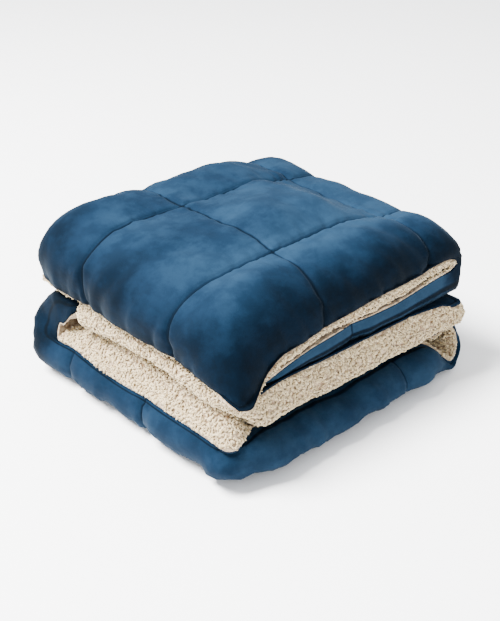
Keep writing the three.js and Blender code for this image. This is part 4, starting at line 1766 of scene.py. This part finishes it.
@dataclass(frozen=True)
class Curls:
    """Short bent tufts of the fleece, tubes of a radius round an arc that stands on the cloth.

    A bend is the arc's radius. Its ends are buried by an angle in radians, and tapered. The
    ranges are factors that differ from tuft to tuft, and so does the lean, in bends.
    """

    seed: int
    radius: float = 1.15
    bend: float = 2.0
    rings: int = 4
    sides: int = 4
    buried: float = 0.35
    end_taper: float = 0.55
    bend_range: Span = (0.7, 1.5)
    radius_range: Span = (0.75, 1.3)
    lean: float = 0.5

    def vertices(self, centres: Points, normals: Points) -> Points:
        """Points of one tuft at each centre.

        A ring's centre lies on the arc, at its cosine along a random direction on the
        cloth and its sine along the normal, and the ring stands square to the arc.

        Args:
            centres: Where the tufts stand.
            normals: Unit directions in which they stand.

        Returns:
            The points, one ring after another, tuft by tuft.
        """
        rng = np.random.default_rng(self.seed)
        count = len(centres)
        side = normalized(np.cross(normals, rng.normal(size=(count, 3))))
        third = np.cross(normals, side)
        bend = self.bend * rng.uniform(*self.bend_range, (count, 1, 1))
        radius = self.radius * rng.uniform(*self.radius_range, (count, 1, 1, 1))
        arc = np.linspace(-self.buried, math.pi + self.buried, self.rings)[None, :, None]
        lean = rng.uniform(-self.lean, self.lean, (count, 1, 1))
        outwards = side[:, None, :] * np.cos(arc) + normals[:, None, :] * np.sin(arc)
        lean_shift = third[:, None, :] * lean * np.sin(arc) * bend
        spine = centres[:, None, :] + outwards * bend + lean_shift
        turn = np.arange(self.sides) * (2 * math.pi / self.sides)
        ring = (
            outwards[:, :, None, :] * np.cos(turn)[None, None, :, None]
            + third[:, None, None, :] * np.sin(turn)[None, None, :, None]
        )
        taper = np.array([self.end_taper] + [1.0] * (self.rings - 2) + [self.end_taper])
        points = spine[:, :, None, :] + ring * radius * taper[None, :, None, None]
        return points.reshape(-1, 3)

    def faces(self, count: int) -> Points:
        """Four-sided faces of that many tufts: the walls between rings, and both ends."""
        per_tuft = self.rings * self.sides
        last = per_tuft - self.sides
        quads = [[3, 2, 1, 0], [last, last + 1, last + 2, last + 3]]
        for level in range(self.rings - 1):
            low, high = level * self.sides, (level + 1) * self.sides
            for k in range(self.sides):
                after = (k + 1) % self.sides
                quads.append([low + k, low + after, high + after, high + k])
        first = np.arange(count)[:, None, None] * per_tuft
        return (first + np.array(quads)[None]).reshape(-1, 4)


def outward_of(points: Points, hem: Points) -> Points:
    """Direction over the cloth towards its nearest free edge.

    Args:
        points: The grid's points.
        hem: Distance of each to the nearest free edge.

    Returns:
        A unit vector at each point, against the slope of that distance.
    """
    across = np.gradient(points, axis=0) * np.gradient(hem, axis=0)[..., None]
    along = np.gradient(points, axis=1) * np.gradient(hem, axis=1)[..., None]
    return normalized(-np.nan_to_num(across + along))


def scattered(
    points: Points, normals: Points, cells: Points, count: int, seed: int
) -> tuple[Points, Points]:
    """Places spread evenly by area over cells of a grid of points.

    Args:
        points: The grid's points.
        normals: Its unit normals.
        cells: Which cells may hold a place.
        count: Number of places.
        seed: Seed of the random choice.

    Returns:
        The places and the normals there.
    """
    rng = np.random.default_rng(seed)
    first = points[1:, :-1] - points[:-1, :-1]
    second = points[:-1, 1:] - points[:-1, :-1]
    area = np.linalg.norm(np.cross(first, second), axis=-1)
    area = np.where(cells & np.isfinite(area), area, 0.0).ravel()
    reached = np.cumsum(area)
    wanted = (np.arange(count) + rng.uniform(0, 1, count)) * reached[-1] / count
    chosen = np.minimum(np.searchsorted(reached, wanted), area.size - 1)
    column, row = np.unravel_index(chosen, cells.shape)
    s, t = rng.uniform(0, 1, (2, count, 1))

    def blend(values: Points) -> Points:
        """Value inside the chosen cell."""
        near = mix(values[column, row], values[column + 1, row], s)
        far = mix(values[column, row + 1], values[column + 1, row + 1], s)
        return mix(near, far, t)

    return blend(points), normalized(blend(normals))


def linear(colour: str) -> tuple[float, float, float, float]:
    """The linear colour of an sRGB hex string, opaque, by the standard's own curve."""
    parts = [int(colour[k : k + 2], 16) / 255 for k in (1, 3, 5)]
    red, green, blue = (c / 12.92 if c <= 0.04045 else ((c + 0.055) / 1.055) ** 2.4 for c in parts)
    return red, green, blue, 1.0


def scale_of(size: float) -> float:
    """Scale of a pattern on Object coordinates, in metres, for features of a size in millimetres."""
    return 1.0 / (size * MM)


@dataclass
class MaterialBuilder:
    """Builds one node material, with one short call for adding and joining a node."""

    name: str

    def __post_init__(self) -> None:
        """Starts the material with a shader and its output."""
        self.material = bpy.data.materials.new(self.name)
        self.material.use_nodes = True
        self.tree = self.material.node_tree
        self.shader = self.tree.nodes["Principled BSDF"]

    def add(
        self,
        kind: str,
        links: dict[str | int, object] | None = None,
        stops: tuple[tuple[float, str], ...] = (),
        **settings: object,
    ) -> bpy.types.Node:
        """Adds a node.

        Args:
            kind: Blender's name of the node type.
            links: Input names, each with the output socket or the value it gets.
            stops: Places and sRGB colours of a colour ramp, in rising order.
            settings: Attributes to set on the node.

        Returns:
            The new node.
        """
        node = self.tree.nodes.new(kind)
        for key, value in settings.items():
            setattr(node, key, value)
        for key, value in (links or {}).items():
            if isinstance(value, bpy.types.NodeSocket):
                self.tree.links.new(value, node.inputs[key])
            else:
                node.inputs[key].default_value = value
        for place, _ in stops[1:-1]:
            node.color_ramp.elements.new(place)
        for number, (place, colour) in enumerate(stops):
            node.color_ramp.elements[number].position = place
            node.color_ramp.elements[number].color = linear(colour)
        return node

    def dress(self, **values: object) -> None:
        """Sets or joins the shader's own sockets, with underscores for spaces."""
        for key, value in values.items():
            socket = self.shader.inputs[key.replace("_", " ")]
            if isinstance(value, bpy.types.NodeSocket):
                self.tree.links.new(value, socket)
            else:
                socket.default_value = value


@dataclass(frozen=True)
class ShortPlush:
    """Short dense polyester plush, knitted, sheared and brushed.

    To the eye it is a deep soft blue without a highlight. Its colour holds painted light and shade:
    lighter where the pile leans towards the light, nearly black where it hangs away from the light,
    and dark along the seams, where the pile is pressed down and painted shade stands for the shade in
    the grooves. It is a little paler where it is seen along.

    The colours go from painted shade to painted light, from hanging to leaning pile. What the painted
    light and lie of the pile, the patches that hands leave in it and the grain add up to is the place
    on them. The grain is clumps of fibre, drawn coarser than the real third of a millimetre so that
    they show. A line is the least and greatest distance of a line of painted shade from a seam or a
    row of stitches, and its darkest factor follows. As light is caught between the fibres, it hardly
    shines.
    """

    welt: float
    name: str = "short_blue_plush"
    # Dark end for painted shade, light end for painted light.
    colours: tuple[tuple[float, str], ...] = (
        (0.0, "#01050A"),
        (0.22, "#020D19"),
        (0.48, "#0A1B2B"),
        (0.80, "#192D3F"),
    )
    nap_light_share: float = 0.6
    patch_size: float = 33.3333
    patch_share: float = 0.15
    patch_span: Span = (0.36, 0.64)
    patch_detail: float = 8.0
    patch_roughness: float = 0.64
    grain_size: float = 1.1111
    grain_share: float = 0.14
    grain_detail: float = 2.0
    # Painted shade along the seams and the stitched groove: distances and darkest factors.
    seam_line: Span = (0.3, 2.6)
    seam_shade: float = 0.1
    stitch_line: Span = (0.3, 1.6)
    stitch_shade: float = 0.15
    bump_strength: float = 0.25
    bump_height: float = 0.6
    roughness: float = 0.82
    specular: float = 0.03
    sheen: float = 0.045
    sheen_roughness: float = 0.35
    sheen_tint: str = "#9DB4C8"

    def material(self) -> bpy.types.Material:
        """Builds the node material.

        Returns:
            A ramp by nap, patches and grain, dark along seams and stitches.
        """
        build = MaterialBuilder(self.name)
        place = build.add("ShaderNodeTexCoord").outputs["Object"]
        grain = build.add(
            "ShaderNodeTexNoise",
            {"Vector": place, "Scale": scale_of(self.grain_size), "Detail": self.grain_detail},
        ).outputs["Fac"]
        lean = self.leaning(build, place, grain)
        # Painted shade along the seams and stitches.
        lines = self.painted_seam_shade(build)
        shaded = build.add("ShaderNodeMath", {0: lean, 1: lines}, operation="MULTIPLY")
        ramp_node = build.add(
            "ShaderNodeValToRGB", {"Fac": shaded.outputs["Value"]}, stops=self.colours
        )
        bump = build.add(
            "ShaderNodeBump",
            {"Height": grain, "Strength": self.bump_strength, "Distance": self.bump_height * MM},
        )
        build.dress(
            Base_Color=ramp_node.outputs["Color"],
            Normal=bump.outputs["Normal"],
            Roughness=self.roughness,
            Specular_IOR_Level=self.specular,
            Sheen_Weight=self.sheen,
            Sheen_Roughness=self.sheen_roughness,
            Sheen_Tint=linear(self.sheen_tint),
        )
        return build.material

    def leaning(
        self, build: MaterialBuilder, place: bpy.types.NodeSocket, grain: bpy.types.NodeSocket
    ) -> bpy.types.NodeSocket:
        """Place on the ramp: the painted light and lie of the pile, the patches and the grain, each by
        its share.

        Args:
            build: Builder of the material.
            place: Object coordinates.
            grain: The grain's noise.

        Returns:
            The sum's socket.
        """
        # Painted light and shade by place, read from the mesh.
        nap_and_painted_light = build.add("ShaderNodeAttribute", attribute_name="nap_and_painted_light").outputs["Fac"]
        leaning = build.add("ShaderNodeMath", {0: nap_and_painted_light, 1: self.nap_light_share}, operation="MULTIPLY")
        look = {"Detail": self.patch_detail, "Roughness": self.patch_roughness}
        patches = build.add(
            "ShaderNodeTexNoise", {"Vector": place, "Scale": scale_of(self.patch_size), **look}
        )
        low, high = self.patch_span
        crushed = build.add(
            "ShaderNodeMapRange",
            {"Value": patches.outputs["Fac"], "From Min": low, "From Max": high},
            interpolation_type="SMOOTHSTEP",
        )
        patched = build.add(
            "ShaderNodeMath",
            {0: crushed.outputs["Result"], 1: self.patch_share, 2: leaning.outputs["Value"]},
            operation="MULTIPLY_ADD",
        )
        speckled = build.add(
            "ShaderNodeMath",
            {0: grain, 1: self.grain_share, 2: patched.outputs["Value"]},
            operation="MULTIPLY_ADD",
        )
        return speckled.outputs["Value"]

    def painted_seam_shade(self, build: MaterialBuilder) -> bpy.types.NodeSocket:
        """Paints shade into the sewn lines and the row of stitches beside the hem, where the pile is
        pressed down and the grooves lie in shade.

        Args:
            build: Builder of the material.

        Returns:
            The factor's socket, 1 away from the lines.
        """
        away = build.add("ShaderNodeAttribute", attribute_name="seam_distance").outputs["Fac"]
        inward = build.add("ShaderNodeAttribute", attribute_name="hem_distance").outputs["Fac"]
        past = build.add("ShaderNodeMath", {0: inward, 1: self.welt}, operation="SUBTRACT")
        beside = build.add("ShaderNodeMath", {0: past.outputs["Value"]}, operation="ABSOLUTE")
        lines = (
            (away, self.seam_line, self.seam_shade),
            (beside.outputs["Value"], self.stitch_line, self.stitch_shade),
        )
        factors = [
            build.add(
                "ShaderNodeMapRange",
                {"Value": distance, "From Min": near, "From Max": far, "To Min": dark},
                interpolation_type="SMOOTHSTEP",
            ).outputs["Result"]
            for distance, (near, far), dark in lines
        ]
        both = build.add("ShaderNodeMath", {0: factors[0], 1: factors[1]}, operation="MULTIPLY")
        return both.outputs["Value"]


@dataclass(frozen=True)
class CurlyFleece:
    """Curly fleece pile, knitted polyester that was brushed up and tumbled into curls.

    To the eye it is matt and warm cream. Its hollows are browner in painted shade: the colours go from
    the hollows to the tips by the same noise as the bump, in patches of a curl's size, and light is
    caught between the curls.
    """

    name: str
    colours: tuple[tuple[float, str], ...]
    tuft_size: float = 4.7619
    tuft_detail: float = 3.0
    tuft_roughness: float = 0.6
    bump_strength: float = 0.4
    bump_height: float = 1.0
    roughness: float = 0.95
    specular: float = 0.1
    sheen: float = 0.25
    sheen_roughness: float = 0.6

    def material(self) -> bpy.types.Material:
        """Builds the node material.

        Returns:
            A ramp and a bump by the same noise.
        """
        build = MaterialBuilder(self.name)
        place = build.add("ShaderNodeTexCoord").outputs["Object"]
        look = {"Detail": self.tuft_detail, "Roughness": self.tuft_roughness}
        tufts = build.add(
            "ShaderNodeTexNoise", {"Vector": place, "Scale": scale_of(self.tuft_size), **look}
        ).outputs["Fac"]
        # Painted shade: darker where the bump's noise is low.
        ramp_node = build.add("ShaderNodeValToRGB", {"Fac": tufts}, stops=self.colours)
        bump = build.add(
            "ShaderNodeBump",
            {"Height": tufts, "Strength": self.bump_strength, "Distance": self.bump_height * MM},
        )
        build.dress(
            Base_Color=ramp_node.outputs["Color"],
            Normal=bump.outputs["Normal"],
            Roughness=self.roughness,
            Specular_IOR_Level=self.specular,
            Sheen_Weight=self.sheen,
            Sheen_Roughness=self.sheen_roughness,
        )
        return build.material


@dataclass(frozen=True)
class StudioPaper:
    """Matt white studio paper, without pattern or shine."""

    name: str = "studio_paper"
    colour: str = "#FAFAFA"
    roughness: float = 0.9
    specular: float = 0.1

    def material(self) -> bpy.types.Material:
        """The node material."""
        build = MaterialBuilder(self.name)
        build.dress(
            Base_Color=linear(self.colour),
            Roughness=self.roughness,
            Specular_IOR_Level=self.specular,
        )
        return build.material


# Painted shade: the ground is browner and darker than the tufts, for the shade between the curls.
FLEECE_SHADED_GROUND = CurlyFleece("fleece_ground_shade", ((0.35, "#6B5134"), (0.60, "#A8957A")))
FLEECE_TUFTS = CurlyFleece("fleece_tufts", ((0.30, "#8E774F"), (0.55, "#B6A480")))


@dataclass
class DressedSheet:
    """The sheet's surfaces with their detail, which all pieces share."""

    grid: SheetGrid = field(default_factory=SheetGrid)

    def __post_init__(self) -> None:
        """Works out the surfaces: each is moved along its own normals by its detail's heights."""
        self.detail = ClothDetail(self.grid)
        self.cells = self.grid.cells()
        self.hem = self.detail.hem_distance()
        self.seam = self.grid.points(Face.SEAM)
        self.seam_normals = grid_normals(self.seam)
        plush = self.grid.points(Face.PLUSH)
        self.plush = plush + grid_normals(plush) * self.detail.plush_heights()[..., None]
        self.plush[..., 2] = np.maximum(self.plush[..., 2], 0.0)
        pile = self.grid.points(Face.PILE)
        self.pile_normals = grid_normals(pile)
        self.pile = pile - self.pile_normals * self.detail.pile_heights()[..., None]

    def seam_at(self, side: float) -> Points:
        """The seam moved half the slit's width towards the plush, or with side -1 to the pile."""
        return self.seam + side * self.seam_normals * SEWN_GAP / 2


def finish_piece(piece: bpy.types.Object, material: bpy.types.Material, node: str) -> None:
    """Gives a piece its material and its body, and hides the model's node that it stands for."""
    piece.data.materials.append(material)
    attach(piece, "root")
    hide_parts(node)


@dataclass
class PlushCover:
    """The plush face with its filling, as a closed padded body."""

    sheet: DressedSheet

    def build(self) -> None:
        """Makes the cover, with the readings that its material follows."""
        detail = self.sheet.detail
        body = ClosedSheet(self.sheet.plush, self.sheet.seam_at(1.0), self.sheet.cells)
        vertices, quads = body.arrays()
        piece = new_mesh_object("plush_cover", in_frame(vertices), quads)
        readings = {
            # Painted light and shade by place, then the distances for the painted seam and stitch
            # shade.
            "nap_and_painted_light": detail.nap_and_painted_light(),
            "seam_distance": detail.nearest_seam(),
            "hem_distance": self.sheet.hem,
        }
        for name, values in readings.items():
            attribute = piece.data.attributes.new(name, "FLOAT", "POINT")
            attribute.data.foreach_set("value", body.values(values).astype(np.float32))
        finish_piece(piece, ShortPlush(detail.plan.welt).material(), "plush_face")
        LOG.info("plush cover: %d faces", len(quads))


@dataclass
class FleeceLining:
    """The ground of the fleece back, as a closed body under its tufts, browner and darker than them as
    painted shade between the curls.
    """

    sheet: DressedSheet

    def build(self) -> None:
        """Makes the lining."""
        body = ClosedSheet(self.sheet.seam_at(-1.0), self.sheet.pile, self.sheet.cells)
        vertices, quads = body.arrays()
        piece = new_mesh_object("fleece_lining", in_frame(vertices), quads)
        finish_piece(piece, FLEECE_SHADED_GROUND.material(), "pile_back")
        LOG.info("fleece lining: %d faces", len(quads))


@dataclass
class FleeceTufts:
    """The curly tufts of the fleece back, where it can be seen, with more along its hems.

    A reach is the distance from the hem that shows. On the upper the pile shows only from
    the opening's X on. The seeds are those of places, rims, sharing out and first curls.
    """

    sheet: DressedSheet
    count: int = 13000
    rim_count: int = 1500
    rim_width: float = 4.5
    rim_upright: float = 0.5
    reach: dict[Across, float] = field(
        default_factory=lambda: {
            Across.TOP: 16.0,
            Across.RIGHT_FOLD: 40.0,
            Across.UPPER: 12.0,
            Across.LEFT_FOLD: math.inf,
            Across.MIDDLE: 40.0,
        }
    )
    base_reach: float = 22.0
    opening_x: float = 340.0
    place_seed: int = 7
    rim_seed: int = 8
    order_seed: int = 9
    curl_seed: int = 11

    def shown_cells(self) -> Points:
        """Finds the cells of the pile that can be seen.

        Returns:
            True for each such cell.
        """
        grid = self.sheet.grid
        hem = self.sheet.hem
        near = np.minimum(hem[:-1, :-1], hem[1:, 1:])
        shown = np.zeros_like(self.sheet.cells)
        strip = slice(0, grid.span(Along.STRIP).stop - 1)
        for zone, limit in self.reach.items():
            block = (grid.span(zone), strip)
            shown[block] = near[block] < limit
        upper = grid.values(Across.UPPER)
        shown[np.flatnonzero(upper < self.opening_x) + grid.span(Across.UPPER).start] = False
        base = slice(grid.span(Along.BASE).start, None)
        outer = (slice(grid.span(Across.MIDDLE).start, None), base)
        shown[outer] = near[outer] < self.base_reach
        shown[grid.span(Across.TURNED_END).start :, base] = True
        return self.sheet.cells & shown

    def places(self) -> tuple[Points, Points]:
        """Places the tufts.

        Returns:
            Where they stand and in which directions, in the order they are shared out.
        """
        sheet = self.sheet
        shown = self.shown_cells()
        rim = (sheet.hem[:-1, :-1] < self.rim_width) & shown
        outward = outward_of(sheet.pile, sheet.hem)
        leaning = normalized(-sheet.pile_normals * self.rim_upright + outward)
        groups = (
            scattered(sheet.pile, -sheet.pile_normals, shown, self.count, self.place_seed),
            scattered(sheet.pile, leaning, rim, self.rim_count, self.rim_seed),
        )
        centres, directions = (np.concatenate(parts) for parts in zip(*groups))
        order = np.random.default_rng(self.order_seed).permutation(len(centres))
        return centres[order], directions[order]

    def build(self) -> None:
        """Makes the tufts, as two pieces."""
        material = FLEECE_TUFTS.material()
        centres, directions = self.places()
        half = len(centres) // 2
        for number, part in enumerate((slice(0, half), slice(half, None))):
            curls = Curls(self.curl_seed + number)
            vertices = curls.vertices(centres[part], directions[part])
            quads = curls.faces(len(centres[part]))
            piece = new_mesh_object(f"fleece_tufts_{number + 1}", in_frame(vertices), quads)
            finish_piece(piece, material, "pile_back")
            LOG.info("fleece tufts %d: %d faces", number + 1, len(quads))


@dataclass(frozen=True)
class SoftLight:
    """A square soft light: its place in metres, its power in watts and its side in metres."""

    name: str
    place: tuple[float, float, float]
    power: float
    size: float


@dataclass
class Studio:
    """The camera at plan points, by the photograph's pixels, and the lights and floor in metres."""

    focal_pixels: float = 1070.0
    image_height: float = 621.0
    sensor: float = 36.0
    camera_at: tuple[float, float, float] = (-657.3, -752.4, 776.2)
    target: tuple[float, float, float] = (316.5, 310.6, 0.0)
    lights: tuple[SoftLight, ...] = (
        SoftLight("key_light", (-1.6, 0.9, 3.0), 900.0, 1.4),
        SoftLight("fill_light", (-1.6, -2.2, 1.5), 30.0, 2.2),
    )
    lit_point: tuple[float, float, float] = (0.0, 0.0, 0.12)
    sky: str = "#F2F4F7"
    sky_strength: float = 1.8
    floor_half: float = 12.0
    paper: StudioPaper = StudioPaper()

    def add_aimed(self, data: bpy.types.ID, at: Points, target: Points) -> bpy.types.Object:
        """Adds a camera or light that looks from a point to a target, in metres, along its -Z axis."""
        thing = bpy.data.objects.new(data.name, data)
        bpy.context.scene.collection.objects.link(thing)
        thing.location = at
        thing.rotation_euler = Vector(target - at).to_track_quat("-Z", "Y").to_euler()
        return thing

    def add_camera(self) -> None:
        """Adds the camera with the photograph's angle of view."""
        data = bpy.data.cameras.new("camera")
        data.sensor_width = self.sensor
        data.lens = self.focal_pixels * self.sensor / self.image_height
        ends = in_frame(np.array([self.camera_at, self.target]))
        bpy.context.scene.camera = self.add_aimed(data, ends[0], ends[1])

    def add_lights(self) -> None:
        """Adds the square soft lights."""
        for light in self.lights:
            data = bpy.data.lights.new(light.name, "AREA")
            data.energy = light.power
            data.size = light.size
            self.add_aimed(data, np.array(light.place), np.array(self.lit_point))

    def add_floor(self) -> None:
        """Adds the pale floor."""
        signs = np.array([[-1, -1, 0], [1, -1, 0], [1, 1, 0], [-1, 1, 0]])
        floor = new_mesh_object("floor", self.floor_half * signs, np.array([[0, 1, 2, 3]]))
        floor.data.materials.append(self.paper.material())

    def add_sky(self) -> None:
        """Adds the even light from all sides."""
        world = bpy.data.worlds.new("studio_light")
        world.use_nodes = True
        background = world.node_tree.nodes["Background"]
        background.inputs["Color"].default_value = linear(self.sky)
        background.inputs["Strength"].default_value = self.sky_strength
        bpy.context.scene.world = world

    def build(self) -> None:
        """Adds everything."""
        self.add_camera()
        self.add_floor()
        self.add_lights()
        self.add_sky()
        LOG.info("studio: %d lights", len(self.lights))


def main() -> None:
    """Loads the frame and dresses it."""
    logging.basicConfig(level=logging.INFO)
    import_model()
    sheet = DressedSheet()
    for piece in (PlushCover(sheet), FleeceLining(sheet), FleeceTufts(sheet), Studio()):
        piece.build()


if __name__ == "__main__":
    main()
